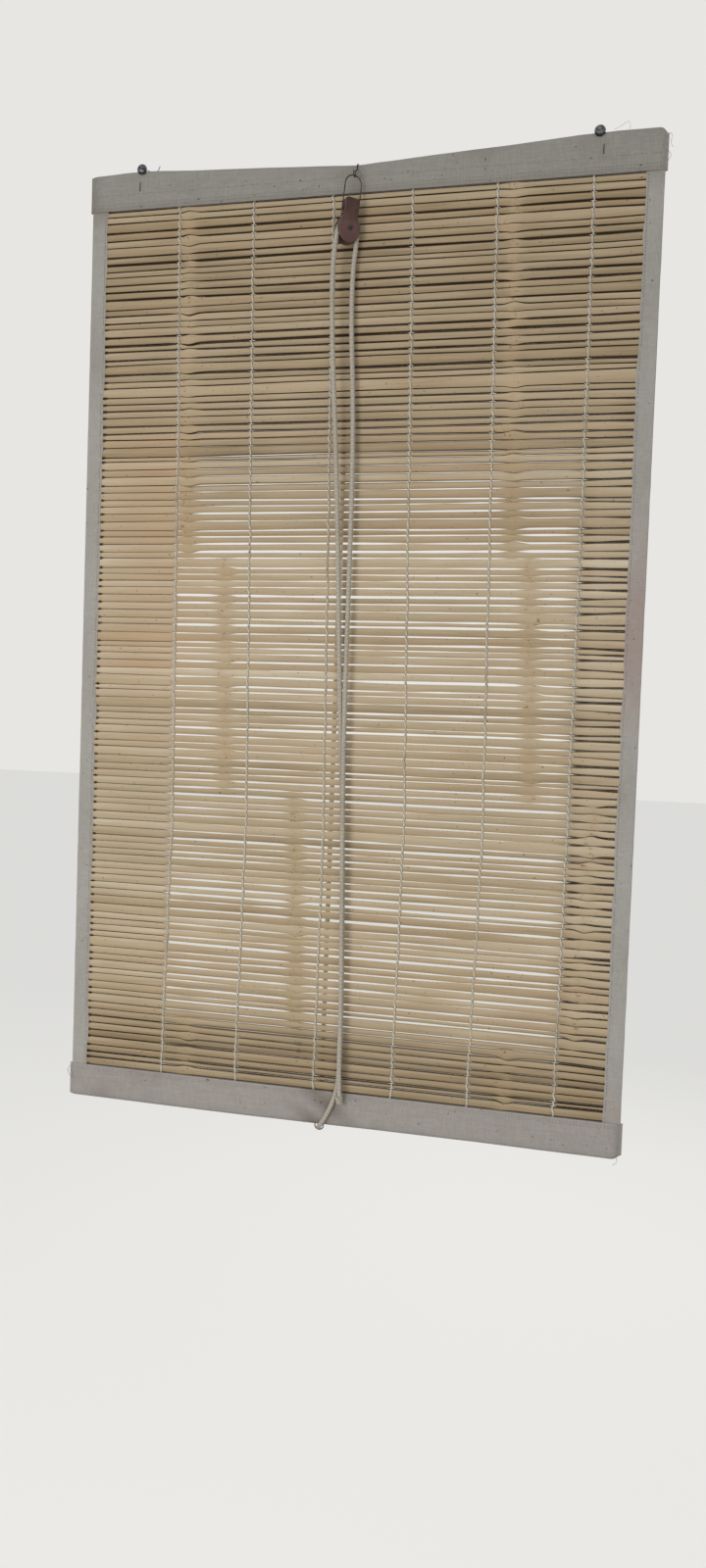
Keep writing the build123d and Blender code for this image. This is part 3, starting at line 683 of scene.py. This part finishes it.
# How heavy each groove and its painted shade are, its dark wedge of painted shade at the right edge, and where it
# thins.
heavy = np.clip(rng.lognormal(-0.1, 0.55, ROWS + 1), 0.22, 2.0)
wedge = np.clip(rng.lognormal(-0.4, 0.7, ROWS + 1), 0.0, 2.2)
pinch = rng.uniform(0.15, 1.1, (ROWS + 1, 12))
warp_wander = rng.normal(0, 0.75, (WARPS, ROWS + 1))
# Wider gaps that stand out: row, left end, right end, extra width.
WIDE = ((63, 35.0, 330.0, 3.0), (95, -150.0, 120.0, 2.4), (66, 250.0, 420.0, 1.0), (33, -260.0, -60.0, 0.8))
WIDE_FADE = 25
# Where the gaps stand open, across the mat and down it, and where dark dots and wedges of painted shade mark the
# closed gaps.
OPEN_LEFT = (-362, -338)
OPEN_RIGHT = (405, 440)
OPEN_FROM = (470, 760)
OPEN_TO = (1580, 1690)
FAN_ACROSS = (436, 535)
STRIP_DOWN = (380, 520, 1500, 1640)
TIED_DOT_X = -510.5
LOW_DOT_X = -66
LOW_DOT_ROWS = range(109, 114)
LOW_WEDGE_ROW = 114
LOW_WEDGE_ACROSS = (-350, -300, -215, -190)
SHUT_GAP = 0.12
OPEN_GAP = 2.0
WARP_GAP = 2.0
# A gap opens by what the slats' thickness hides from the camera's height and distance.
HIDING_DEPTH = 2.1
CAMERA_REACH = 2208


def knuckles_of(row):
    places = []
    for first, last, start, end in KNUCKLES:
        if first <= row <= last:
            places.append(start + (end - start) * (row - first) / (last - first))
    return places


def warp_x(column, z):
    return np.interp(z, WARP_HEIGHTS, WARP_PLACES[column])


def across_mat(values, x):
    """Values given at even places over a slat's length, read at x."""
    return np.interp(x, np.linspace(-SLAT_HALF, SLAT_HALF, len(values)), values)


def gap_line(k, x):
    """The middle height of the gap above row k."""
    drift = line_shift[k] + line_slope[k] * x / SLAT_HALF
    drift = drift + line_wave[k] * np.sin(2 * math.pi * x / line_length[k] + line_phase[k])
    drift = drift + fan[k] * step(x, *FAN_ACROSS)
    for number, place in enumerate(knuckles_of(min(k, ROWS - 1))):
        away = (x - place) / 15.0
        drift = drift + kink[k, number] * np.exp(-(away**2)) * (1 + 0.8 * away)
    return MAT_TOP_Z - PITCH * k + calm[k] * drift


def region(k, x):
    """How far the gaps stand open at a place, from 0 to 1."""
    depth = PITCH * k - MAT_TOP_Z
    down = step(depth, *OPEN_FROM) * (1 - 0.93 * step(depth, *OPEN_TO))
    return band(x, *OPEN_LEFT, *OPEN_RIGHT) * down


def gap_width(k, x):
    z = MAT_TOP_Z - PITCH * k
    hidden = HIDING_DEPTH * abs(z - CAMERA[2]) / CAMERA_REACH
    open_share = region(k, x) * np.clip(openness[k] + 0.36 * across_mat(ripple[k], x), 0.05, 2.2)
    width = SHUT_GAP + (hidden + OPEN_GAP - SHUT_GAP) * open_share
    for row, left, right, extra in WIDE:
        if row == k:
            ends = (left - WIDE_FADE, left + WIDE_FADE, right - WIDE_FADE, right + WIDE_FADE)
            width = width + extra * band(x, *ends)
    for place in set(knuckles_of(min(k, ROWS - 1)) + knuckles_of(max(k - 1, 0))):
        width = width * (1 - 0.9 * hill(x, place, 17.0))
    for column in range(WARPS):
        width = width + np.maximum(0, WARP_GAP - width) * hill(x, warp_x(column, z), 3.2)
    return np.clip(width, 0.1, 5.5)


def edge_shade(k, x):
    """How deep the groove beside a gap is and how dark its painted shade, from 0 to about 1.9."""
    depth = PITCH * k - MAT_TOP_Z
    shade = heavy[k] * (0.55 + 0.6 * across_mat(pinch[k], x)) * (1 - 0.75 * region(k, x))
    left_strip = 1 - step(x, *OPEN_LEFT)
    shade = shade * (1 - 0.86 * left_strip * step(depth, 400, 640) * (1 - 0.6 * step(depth, 1620, 1700)))
    down = band(depth, *STRIP_DOWN)
    shade = shade * (1 - 0.5 * down * step(x, 440, 470)) + 0.7 * wedge[k] * down * step(x, 446, 512)
    for place in knuckles_of(min(k, ROWS - 1)):
        shade = shade * (1 - 0.82 * hill(x, place + 4 * kink[k, 0], 17.0))
    shade = shade + 1.7 * hill(x, TIED_DOT_X, 3.4) * step(depth, 200, 420) * (0.5 + 0.5 * pinch[k, 0])
    if k in LOW_DOT_ROWS:
        shade = shade + 1.5 * hill(x, LOW_DOT_X, 5.0)
    if k == LOW_WEDGE_ROW:
        shade = shade + 1.5 * band(x, *LOW_WEDGE_ACROSS)
    return np.clip(shade, 0, 1.9)


# A slat's sections lie closer together near its knuckles, the warp and its small marks.
NEAR_KNUCKLE = (-24, -16, -11, -7, -4.5, -2.5, -1, 0.5, 2.5, 4.5, 7, 11, 16, 24)
NEAR_WARP = (-7, -3, 0, 3, 7)
NEAR_MARKS = (-517, -514, -512, -510, -508, -505, -500, 500, 508, 514, -74, -70, -66, -62, -58)
# What each of a section's ten points adds to the tone, as painted shading that makes a slat's upper half lighter
# and its lower half darker, and the material of the face that it starts.
SECTION_PAINTED_SHADING = np.array([0, 0, 0.08, 0.1, 0.05, -0.03, -0.11, -0.16, 0, 0])
SECTION_LOOKS = [1, 1, 0, 0, 0, 0, 0, 1, 1, 2]
GROOVE_SHARE = 0.26
SHOULDER_SHARE = 0.085
CROWN_SHARE = 0.4
BACK_BEVEL = 0.3


def slat(parts, row):
    """One slat as a row of sections: a crowned front between two rounded grooves, and a flat back."""
    depth = -(MAT_TOP_Z - PITCH * (row + 0.5))
    knots = [place + shift for place, shift in zip(knuckles_of(row), knuckle_shift[row])]
    places = list(np.linspace(-SLAT_HALF, SLAT_HALF, 55))
    for place in knots:
        places += [place + d for d in NEAR_KNUCKLE]
    for column in range(WARPS):
        places += [float(warp_x(column, -depth)) + d for d in NEAR_WARP]
    places += NEAR_MARKS
    x = np.unique(np.clip(np.round(places, 2), -SLAT_HALF, SLAT_HALF))
    top = gap_line(row, x) - gap_width(row, x) / 2
    bottom = gap_line(row + 1, x) + gap_width(row + 1, x) / 2
    near = scar = bump = 0 * x
    for number, place in enumerate(knots):
        near = np.maximum(near, knuckle_tint[row, number] * hill(x, place, knuckle_size[row, number]))
        scar = np.maximum(scar, scar_depth[row, number] * hill(x, place + 1, 8.0))
        bump = bump + 0.45 * hill(x, place, 6.0) - 0.35 * hill(x, place + 3, 2.2)
    bow = 0.18 * np.sin(x / rng.uniform(60, 150) + rng.uniform(0, 6))
    tilt = rng.normal(0, 0.14)

    high = top - bottom
    front = SLAT_FRONT - 0.1 - bump + bow * 0.5

    def half(line, shade, way):
        """The section from its back over the groove to the crown, and how much shade is painted at each point."""
        groove = np.minimum(0.4 + 1.05 * shade, GROOVE_SHARE * high)
        soft = np.clip(0.35 + 0.65 * shade, 0, 1)
        points = [
            (np.full_like(x, SLAT_BACK), line - way * BACK_BEVEL),
            (front + 1.0 + 1.35 * np.minimum(shade, 1.0), line),
            (front + 0.42, line - way * groove),
            (front + 0.06, line - way * groove - way * SHOULDER_SHARE * high),
            (front - 0.08 + way * tilt, line - way * CROWN_SHARE * high),
        ]
        return points, [soft, soft, 0.7 * soft, 0.22 * shade, 0 * x]

    upper, painted_shade_above = half(top, edge_shade(row, x), 1)
    lower, painted_shade_below = half(bottom, edge_shade(row + 1, x), -1)
    section = upper + lower[::-1]
    sides = len(section)
    rings = np.stack([np.stack([x, y, z], axis=1) for y, z in section], axis=1)
    side_strips = (1 - step(x, *OPEN_LEFT)) + step(x, 430, 452)
    golden = near * (1 - step(depth, 330, 620))
    tone = slat_tone[row] + 0.045 * across_mat(slat_drift[row], x)
    tone = tone + 0.13 * side_strips * band(depth, 420, 640, 1560, 1680) + 0.26 * golden
    warm = slat_hue[row] + 0.6 * hill(x, -400, 110.0) * band(depth, 380, 620, 900, 1200)
    warm = warm + 0.42 * golden + 0.35 * hill(x, 180, 150.0) * hill(depth, 600, 120.0)

    def all_round(values):
        return np.repeat(values[:, None], sides, 1)

    parts.add(
        rings,
        loft_faces(len(x), sides),
        SECTION_LOOKS * (len(x) - 1) + [1, 1],
        tone=tone[:, None] + SECTION_PAINTED_SHADING[None, :],
        hue=all_round(np.clip(warm, 0, 1)),
        # Painted shade in the grooves beside the gaps.
        edge=np.stack(painted_shade_above + painted_shade_below[::-1], axis=1),
        # Painted light: the side faces are painted pale where the gaps stand open.
        lit=all_round(region(row, x)),
        knuckle=all_round(near),
        scar=all_round(scar),
    )


body_nodes = frame["record"]["behaviour"]["bodies"]
for body, first, last in spans:
    parts = Parts()
    for row in range(first, last):
        slat(parts, row)
    node = [n for n in body_nodes[body] if n.startswith("slats_")][0]
    stand_for(parts.piece(node + "_cane", [FRONT, SIDE, BACK], SLAT_ANGLE), node, body)


# Warp threads: two strands at each place, one before and one behind each slat in turn
STEPS_A_ROW = 10
STRAND_SIDES = 8
STRAND_OFF = 3.0
STRAND_APART = 0.95
STRAND_OVAL = 1.45
STRAND_ENDS = (-66.5, -1789.5)


def warp_strands(parts, z_high, z_low):
    """The piece of all twelve strands between two heights."""
    first = (MAT_TOP_Z - z_high) / PITCH
    last = (MAT_TOP_Z - z_low) / PITCH
    u = np.linspace(first, last, max(3, int(round((last - first) * STEPS_A_ROW)) + 1))
    z = MAT_TOP_Z - PITCH * u
    rows = np.arange(ROWS + 1)
    for column in range(WARPS):
        x = warp_x(column, z) + np.interp(u, rows, warp_wander[column])
        gaps = [float(gap_line(k, warp_x(column, MAT_TOP_Z - PITCH * k))) for k in rows]
        passed = np.interp(-z, -np.array(gaps), rows, left=0, right=ROWS)
        passed = math.pi * np.where(u < 0, u, np.where(u > ROWS, u, passed))
        fuzz = 0.16 * np.sin(7.3 * u + column) + 0.12 * np.sin(17.9 * u + 2 * column)
        thick = 1.0 + 0.28 * np.abs(np.sin(passed)) + 0.08 * np.sin(11.0 * u + column)
        for way in (-1, 1):
            y = MAT_Y + way * (STRAND_OFF * np.clip(1.9 * np.sin(passed), -1, 1))
            centre = np.stack([x + way * STRAND_APART * np.cos(passed) + fuzz, y, z], axis=1)
            tangent = np.gradient(centre, axis=0)
            tangent /= np.linalg.norm(tangent, axis=1)[:, None]
            one = np.cross(tangent, (1.0, 0.0, 0.0))
            one /= np.linalg.norm(one, axis=1)[:, None]
            across = (one, STRAND_OVAL * np.cross(tangent, one))
            tube(parts, centre, across, thick[:, None], STRAND_SIDES)


def pieces_down(top, bottom):
    """Spans of a strip that runs the whole height: one on the fixed top, then one across each hinge."""
    cuts = [top, hinge_heights[0] + 1.5 * PITCH]
    for a, b in zip(hinge_heights, hinge_heights[1:]):
        cuts.append((a + b) / 2)
    cuts.append(bottom)
    return list(zip(cuts, cuts[1:]))


def place_span(piece, number):
    """The first span rides on the top, and each other one keeps its place in the world."""
    if number == 0:
        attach(piece, "blind_top")
        return
    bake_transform(piece)


for number, (high, low) in enumerate(pieces_down(*STRAND_ENDS)):
    parts = Parts()
    warp_strands(parts, high, low)
    piece = parts.piece(f"warp_{number:02d}", [WARP], ROUND_ANGLE)
    place_span(piece, number)
    stand_for(piece, "warp_cords")


# Side tapes: canvas strips folded round the slat ends
tape_noise = {side: rng.normal(0, 1, (3, 260)) for side in (-1, 1)}
TAPE_ENDS = (-67.5, -1774.5)
TAPE_INNER = 514.0
TAPE_OUTER = 546.0
TAPE_FRONT = -21.25
TAPE_BACK = -14.75
TAPE_THICK = 1.15
TAPE_ROUND = 1.6
TAPE_SHARES = np.array([0.0, 0.12, 0.25, 0.4, 0.55, 0.7, 0.85, 0.96])
STITCH_THICK = 0.8
STITCH_IN = 4.0
# Places along a stitch: share of its length, share of its thickness, lift.
STITCH_FORM = ((0.0, 0.45, -0.3), (0.25, 1.0, 0.15), (0.75, 1.0, 0.15), (1.0, 0.45, -0.3))


def capsule(parts, a, b, out):
    """A short stitch from a to b, bulging a little outward in the middle."""
    a, b, out = np.array(a, float), np.array(b, float), np.array(out, float)
    way = (b - a) / np.linalg.norm(b - a)
    side = np.cross(way, out)
    rings = []
    for t, r, lift in STITCH_FORM:
        centre = a + (b - a) * t + out * lift * STITCH_THICK
        for angle in range(0, 360, 60):
            c, s = math.cos(math.radians(angle)), math.sin(math.radians(angle))
            rings.append(centre + STITCH_THICK / 2 * r * (c * side + s * out))
    parts.add(np.array(rings), loft_faces(len(STITCH_FORM), 6), 1, stain=0.0, dirt=0.0)


def tape_stitches(parts, side, z_high, z_low, x, y, out, pitch=6.0, length=4.0):
    """A row of stitches down one face of a tape."""
    for number in range(math.ceil(-z_high / pitch), math.floor(-z_low / pitch)):
        z = -number * pitch
        if z - length < z_low:
            continue
        start = (side * (x + 0.15 * math.sin(number)), y, z)
        end = (side * (x + 0.15 * math.sin(number + 1)), y, z - length)
        capsule(parts, start, end, (0, out, 0))


def tape_piece(side, z_high, z_low, name):
    """A span of a tape: cloth from the front's inner edge round the slats' ends to the back."""
    z = np.linspace(z_high, z_low, max(4, int(round((z_high - z_low) / 3.6)) + 1))

    def noise(number, spacing):
        values = tape_noise[side][number]
        return np.interp(-z / spacing, np.arange(len(values)), values)

    rib = 0.5 - 0.5 * np.cos(2 * math.pi * (MAT_TOP_Z - z) / PITCH)
    wavy = 1.1 * noise(0, 31.0) + 0.5 * noise(1, 9.0)
    buckle = 0.4 * noise(2, 23.0)
    inner_x = TAPE_INNER + wavy
    back_x = TAPE_INNER + 0.5 - 0.8 * wavy
    turn_x = TAPE_OUTER + 0.35 * buckle - TAPE_ROUND
    outer = []
    inner = []
    for t in TAPE_SHARES:
        x = inner_x + (turn_x - inner_x) * t
        hug = (1 - t) * 0.25 + 0.35 * rib * (1 - abs(t - 0.4)) - 0.22 * np.abs(buckle) * math.sin(math.pi * t)
        y = TAPE_FRONT + hug + (0.25 if t == 0 else 0.0)
        outer.append((x, y))
        inner.append((x, y + TAPE_THICK))
    for angle in range(30, 180, 30):
        a = math.radians(angle)
        outer.append((turn_x + TAPE_ROUND * math.sin(a), MAT_Y - 3.2 * math.cos(a)))
        inner.append((turn_x + 0.55 * math.sin(a), MAT_Y - 2.05 * math.cos(a)))
    for t in TAPE_SHARES[::-1]:
        x = back_x + (turn_x - back_x) * t
        y = TAPE_BACK - (1 - t) * 0.2 - 0.3 * rib * (1 - abs(t - 0.4))
        outer.append((x, y))
        inner.append((x, y - TAPE_THICK))
    points, faces = ribbon(*(
        np.stack([np.stack([side * x, y + 0 * z, z], axis=1) for x, y in line], axis=1)
        for line in (outer, inner)
    ))
    depth = -points[:, 2]
    stain = np.zeros(len(points))
    dirt = 0.12 * np.abs(np.sin(points[:, 2] / 97.0 + side))
    if side > 0:
        stain = band(depth, 620, 800, 980, 1080) + 0.4 * step(depth, 1690, 1760)
    # Painted shade: the tape is darker just under the top hem.
    dirt = dirt + 0.25 * (1 - step(depth, 74, 120))
    parts = Parts()
    parts.add(points, faces, 0, stain=stain, dirt=dirt)
    seam_x = inner_x.mean() + STITCH_IN
    tape_stitches(parts, side, z_high, z_low, seam_x, -21.3, -1)
    tape_stitches(parts, side, z_high, z_low, seam_x, -14.7, 1)
    return parts.piece(name, [TAPE, STITCH], CLOTH_ANGLE)


for side, name in ((-1, "left"), (1, "right")):
    for number, (high, low) in enumerate(pieces_down(*TAPE_ENDS)):
        piece = tape_piece(side, high, low, f"tape_{name}_{number:02d}")
        place_span(piece, number)
        stand_for(piece, f"side_tape_{name}")


# Hems: canvas sleeves folded over the battens
HEM_DEPTH, HEM_NARROWS = 14.0, 10.4
MOUTH_DEPTH, MOUTH_NARROWS = 10.8, 7.2
HEM_STATIONS = 150
HEM_ENDS = [-549, -547, -544, -540, -535, 535, 540, 544, 547, 549]
DIP = 18.0
DIP_ROUND = 12.0
LEFT_RISE = 3.2
FACE_STEPS = 19
FOLD_STEPS = 13
SWELL_LIMITS = (-1.3, 1.2)
# Creases fan out from the hook's pull and from the two nails: place, height, width.
CREASES = ((HOOK[0], 1.1, 26.0), (NAILS[0], 0.8, 20.0), (NAILS[1], 0.9, 22.0))
TOP_SEAMS = (-45.0, -62.5)
TOP_STITCHES = (-62.5, -68.5, -45.0)
WORN_ABOVE_Z = -50.0
LOW_SEAMS = (MAT_BOTTOM_Z - 5.5, MAT_BOTTOM_Z - 30.0)
LOW_STITCHES = (MAT_BOTTOM_Z - 5.5, MAT_BOTTOM_Z - 9.5)
HEM_PITCH = 6.2
HEM_STITCH = 4.3


def dip(x):
    """How far the pulley's hook pulls the top fold down."""
    edge = np.where(x < HOOK[0], NAILS[0], NAILS[1])
    away = np.sqrt((x - HOOK[0]) ** 2 + DIP_ROUND**2) - DIP_ROUND
    reach = np.clip(1 - away / np.abs(edge - HOOK[0]), 0, None)
    return DIP * reach**1.4 - LEFT_RISE * hill(x, NAILS[0], 70.0)


def fold_drop(x, top):
    """How far a hem's fold comes in from its straight line, with frayed, pulled corners."""
    if top:
        drop = float(dip(x)) - 4.5 * float(band(x, 250, 480, 535, 550))
        return drop + 7.0 * float(step(x, 536, 550)) ** 1.5 + 1.5 * float(step(-x, 538, 550))
    corners = 9.0 * float(step(x, 530, 550)) ** 1.7 + 2.0 * float(step(-x, 540, 550))
    return corners + 0.8 * math.sin(x / 130.0)


def hem_points(x, fold_z, hip_z, mouth_z, depth, mouth, inset):
    """One section of a sleeve as points from the front mouth over the fold to the back mouth."""
    way = 1 if fold_z > mouth_z else -1
    radius = depth / 2 - inset
    shoulder = fold_z - way * inset - way * radius
    rise = [hip_z + (shoulder - hip_z) * t for t in np.linspace(0, 1, FACE_STEPS)]
    points = [(MAT_Y - mouth / 2 + inset, mouth_z)]
    points += [(MAT_Y - radius, z) for z in rise]
    for a in np.radians(np.linspace(0, 180, FOLD_STEPS)[1:-1]):
        points.append((MAT_Y - radius * math.cos(a), shoulder + way * radius * math.sin(a)))
    points += [(MAT_Y + radius, z) for z in rise[::-1]]
    points.append((MAT_Y + mouth / 2 - inset, mouth_z))
    return [(x, y, z) for y, z in points]


def crumple(x, z, seed):
    """Soft uneven rumples of canvas, in millimetres."""
    total = np.zeros(np.broadcast(x, z).shape)
    local = np.random.default_rng(seed)
    for size in (190.0, 95.0, 52.0, 30.0):
        for _ in range(3):
            a = local.uniform(-0.5, 0.5)
            phase = local.uniform(0, 6.28)
            place = (x * math.cos(a) + z * 0.7 * math.sin(a)) * 6.28 / size
            total = total + (size / 190.0) ** 0.8 * np.sin(place + phase)
    return total / 4.0


def surface_y(outer, xs, x, z, back_side):
    """The cloth's own depth at a place on one face of a sleeve."""
    i = int(np.clip(np.searchsorted(xs, x), 1, len(xs) - 1))
    t = (x - xs[i - 1]) / (xs[i] - xs[i - 1])
    middle = outer.shape[1] // 2
    part = slice(middle + 1, None) if back_side else slice(0, middle)
    found = []
    for index in (i - 1, i):
        heights = outer[index, part, 2]
        depths = outer[index, part, 1]
        order = np.argsort(heights)
        found.append(np.interp(z, heights[order], depths[order]))
    return found[0] * (1 - t) + found[1] * t


def hem_stitches(parts, outer, xs, rows):
    """Rows of stitches along a hem, front and back. In the highest row each fifth stitch is missing."""
    for row_number, height in enumerate(rows):
        for number in range(int(2 * SLAT_HALF / HEM_PITCH)):
            if height > WORN_ABOVE_Z and number % 5 == 0:
                continue
            start = -538 + number * HEM_PITCH
            end = start + HEM_STITCH
            z = height + 0.35 * math.sin(number * 0.7 + row_number)
            for back_side in (False, True):
                y_start = surface_y(outer, xs, start, height, back_side)
                y_end = surface_y(outer, xs, end, height, back_side)
                capsule(parts, (start, y_start, z), (end, y_end, z + 0.1), (0, 1 if back_side else -1, 0))


def hem_piece(name, top):
    way = 1 if top else -1
    fold = TOP_Z if top else BOTTOM_Z
    hip = TOP_Z - 63.0 if top else BOTTOM_Z + 45.0
    mouth = MAT_TOP_Z if top else MAT_BOTTOM_Z
    even = np.linspace(-HALF_WIDTH, HALF_WIDTH, HEM_STATIONS)
    xs = np.unique(np.concatenate([even, HEM_ENDS, HOOK[0] + np.array([-6, 0, 6])]))
    outer = []
    inner = []
    for x in xs:
        flat = 1 - step(HALF_WIDTH - abs(x), 0, 13.0)
        form = (hip, mouth, HEM_DEPTH - HEM_NARROWS * flat, MOUTH_DEPTH - MOUTH_NARROWS * flat)
        fold_here = fold - way * fold_drop(x, top)
        outer.append(hem_points(x, fold_here, *form, 0.0))
        inner.append(hem_points(x, fold_here, *form, CLOTH if flat < 0.9 else 1.0))
    outer = np.array(outer)
    inner = np.array(inner)
    x = outer[..., 0]
    z = outer[..., 2]
    swell = 0.55 * crumple(x, z, 5 if top else 6)
    if top:
        above = 1 - np.clip(np.abs(z - fold) / 70.0, 0, 1)
        for place, size, width in CREASES:
            away = (x - place) / width
            swell = swell - size * np.exp(-(away**2)) * above
            swell = swell + 0.5 * size * np.exp(-((np.abs(away) - 1.6) ** 2) * 3) * above
    for seam in TOP_SEAMS if top else LOW_SEAMS:
        swell = swell - 0.55 * hill(z, seam, 1.8)
    swell = swell * step(HALF_WIDTH - np.abs(x), 2, 30)
    hold = np.clip(np.abs(z - mouth) / 8.0, 0, 1)
    shift = np.clip(np.where(outer[..., 1] < MAT_Y, -swell, 0.6 * swell) * hold, *SWELL_LIMITS)
    outer[..., 1] += shift
    inner[..., 1] += shift
    points, faces = ribbon(outer, inner)
    px, pz = points[:, 0], points[:, 2]
    if top:
        # Top hem: darker at its left end and round the hook, and painted shade along its lower edge.
        dirt = 0.35 * hill(px, -545, 10.0) + 0.25 * hill(px, HOOK[0], 25.0) + 0.3 * step(-pz, 60, 74)
    else:
        # Bottom hem: darker round the rope's foot, at its right end and along its lowest edge.
        dirt = 0.95 * hill(px, -15, 48.0) * (0.6 + 0.4 * np.sin(pz / 9.0 + px / 14.0))
        dirt = dirt + 0.3 * hill(px, 545, 12.0) + 0.18 * step(-pz, 1815, 1834)
    parts = Parts()
    parts.add(points, faces, 0, dirt=dirt, stain=0.0)
    hem_stitches(parts, outer, xs, TOP_STITCHES if top else LOW_STITCHES)
    return parts.piece(name, [CANVAS if top else CANVAS_LOW_PAINTED_LIGHT, STITCH], CLOTH_ANGLE)


top_hem = hem_piece("top_hem_cloth", True)
stand_for(top_hem, "top_hem", "blind_top")
bottom_hem = hem_piece("bottom_hem_cloth", False)
stand_for(bottom_hem, "bottom_hem", "bottom_bar")


# Frayed threads at the hems' corners and by the right nail: name, body, material, thickness, points
FRAYS = (
    ("fray_right_a", "blind_top", WARP, 0.9,
     [(543, -23, -14), (552, -26, -12), (556, -28, -20), (552, -27, -31), (557, -26, -38)]),
    ("fray_right_b", "blind_top", STITCH, 0.7,
     [(546, -22, -40), (553, -24, -45), (555, -27, -56), (549, -28, -62)]),
    ("fray_wire", "blind_top", WARP, 0.7,
     [(455, -22, 2), (468, -24, 6), (478, -25, 14), (484, -24, 10), (482, -23, 0)]),
    ("fray_low", "bottom_bar", STITCH, 0.8,
     [(-546, -24, -1772), (-552, -28, -1777), (-549, -30, -1790), (-540, -29, -1797)]),
    ("fray_low_b", "bottom_bar", STITCH, 0.7,
     [(538, -23, -1826), (544, -26, -1832), (541, -27, -1840), (535, -25, -1843)]),
)
FRAY_SIDES = 6
for name, body, material, thick, points in FRAYS:
    at, across, _ = along(route_points(name + "_route", points), 1.5)
    parts = Parts()
    tube(parts, at, across, thick / 2, FRAY_SIDES)
    piece = parts.piece(name, [material], ROUND_ANGLE)
    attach(piece, body)


# Carried-over parts: finish
for material, names in (
    (STEEL, ("nail_left", "nail_right")),
    (WIRE, ("hanger_wire_left", "hanger_wire_right", "pulley_hook_wire", "pulley_wire_loop")),
    (WIRE, ("bottom_ring", "pulley_axle")),
    (BLOCK, ("pulley_block",)),
    (SHEAVE, ("pulley_sheave",)),
    (WOOD, ("top_batten", "bottom_batten")),
):
    for name in names:
        slots = frame["nodes"][name].data.materials
        slots.clear()
        slots.append(material)


# Stage: pale floor, pale surroundings and soft lamps
FLOOR_Z = -2.75
FLOOR_REACH = 30.0
FLOOR_PLAIN = (0.34, 0.338, 0.33, 1)
FLOOR_GLOW = (0.56, 0.555, 0.54, 1)
AMBIENT = (0.46, 0.465, 0.475, 1)
BACKGROUND = (0.8, 0.79, 0.77, 1)


def link_all(tree, *pairs):
    for output, into in pairs:
        tree.links.new(output, into)


def floor_material():
    """A plain diffuse floor that looks paler to the camera than it lights the object."""
    material = bpy.data.materials.new("floor")
    material.use_nodes = True
    tree = material.node_tree
    tree.nodes.clear()
    kinds = ("OutputMaterial", "BsdfDiffuse", "Emission", "AddShader", "LightPath", "MixShader")
    out, plain, glow, both, path, choose = (tree.nodes.new("ShaderNode" + kind) for kind in kinds)
    plain.inputs["Color"].default_value = FLOOR_PLAIN
    glow.inputs["Color"].default_value = FLOOR_GLOW
    link_all(
        tree,
        (plain.outputs[0], both.inputs[0]),
        (glow.outputs[0], both.inputs[1]),
        (path.outputs["Is Camera Ray"], choose.inputs[0]),
        (plain.outputs[0], choose.inputs[1]),
        (both.outputs[0], choose.inputs[2]),
        (choose.outputs[0], out.inputs["Surface"]),
    )
    return material


floor_mesh = bpy.data.meshes.new("floor")
corners = [(x * FLOOR_REACH, y * FLOOR_REACH, 0) for x, y in ((-1, -1), (1, -1), (1, 1), (-1, 1))]
floor_mesh.from_pydata(corners, [], [(0, 1, 2, 3)])
floor_mesh.materials.append(floor_material())
floor = bpy.data.objects.new("floor", floor_mesh)
floor.location = (0, 0, FLOOR_Z)
scene.collection.objects.link(floor)

world = bpy.data.worlds.new("surroundings")
scene.world = world
world.use_nodes = True
tree = world.node_tree
sky = tree.nodes["Background"]
path = tree.nodes.new("ShaderNodeLightPath")
seen = path.outputs["Is Camera Ray"]
for ray in ("Is Glossy Ray", "Is Transmission Ray"):
    either = tree.nodes.new("ShaderNodeMath")
    either.operation = "MAXIMUM"
    link_all(tree, (seen, either.inputs[0]), (path.outputs[ray], either.inputs[1]))
    seen = either.outputs[0]
choice = tree.nodes.new("ShaderNodeMix")
choice.data_type = "RGBA"
choice.inputs[6].default_value = AMBIENT
choice.inputs[7].default_value = BACKGROUND
link_all(tree, (seen, choice.inputs[0]), (choice.outputs[2], sky.inputs["Color"]))
sky.inputs["Strength"].default_value = 1.0


def lamp(name, place, aim, size, watts, colour):
    data = bpy.data.lights.new(name, "AREA")
    data.shape = "DISK"
    data.size = size
    data.energy = watts
    data.color = colour
    obj = bpy.data.objects.new(name, data)
    obj.location = place
    obj.rotation_euler = (Vector(aim) - Vector(place)).to_track_quat("-Z", "Y").to_euler()
    scene.collection.objects.link(obj)


lamp("key", (-1.3, -3.2, -1.0), (0, 0, -1.25), 1.8, 49, (1.0, 0.985, 0.96))
lamp("low_fill", (1.6, -3.4, -1.9), (0, 0, -1.2), 2.4, 32, (0.99, 0.995, 1.0))
lamp("behind", (0.4, 2.8, 0.3), (0, 0, -1.0), 2.5, 45, (1.0, 0.99, 0.97))

scene.view_settings.view_transform = "Standard"
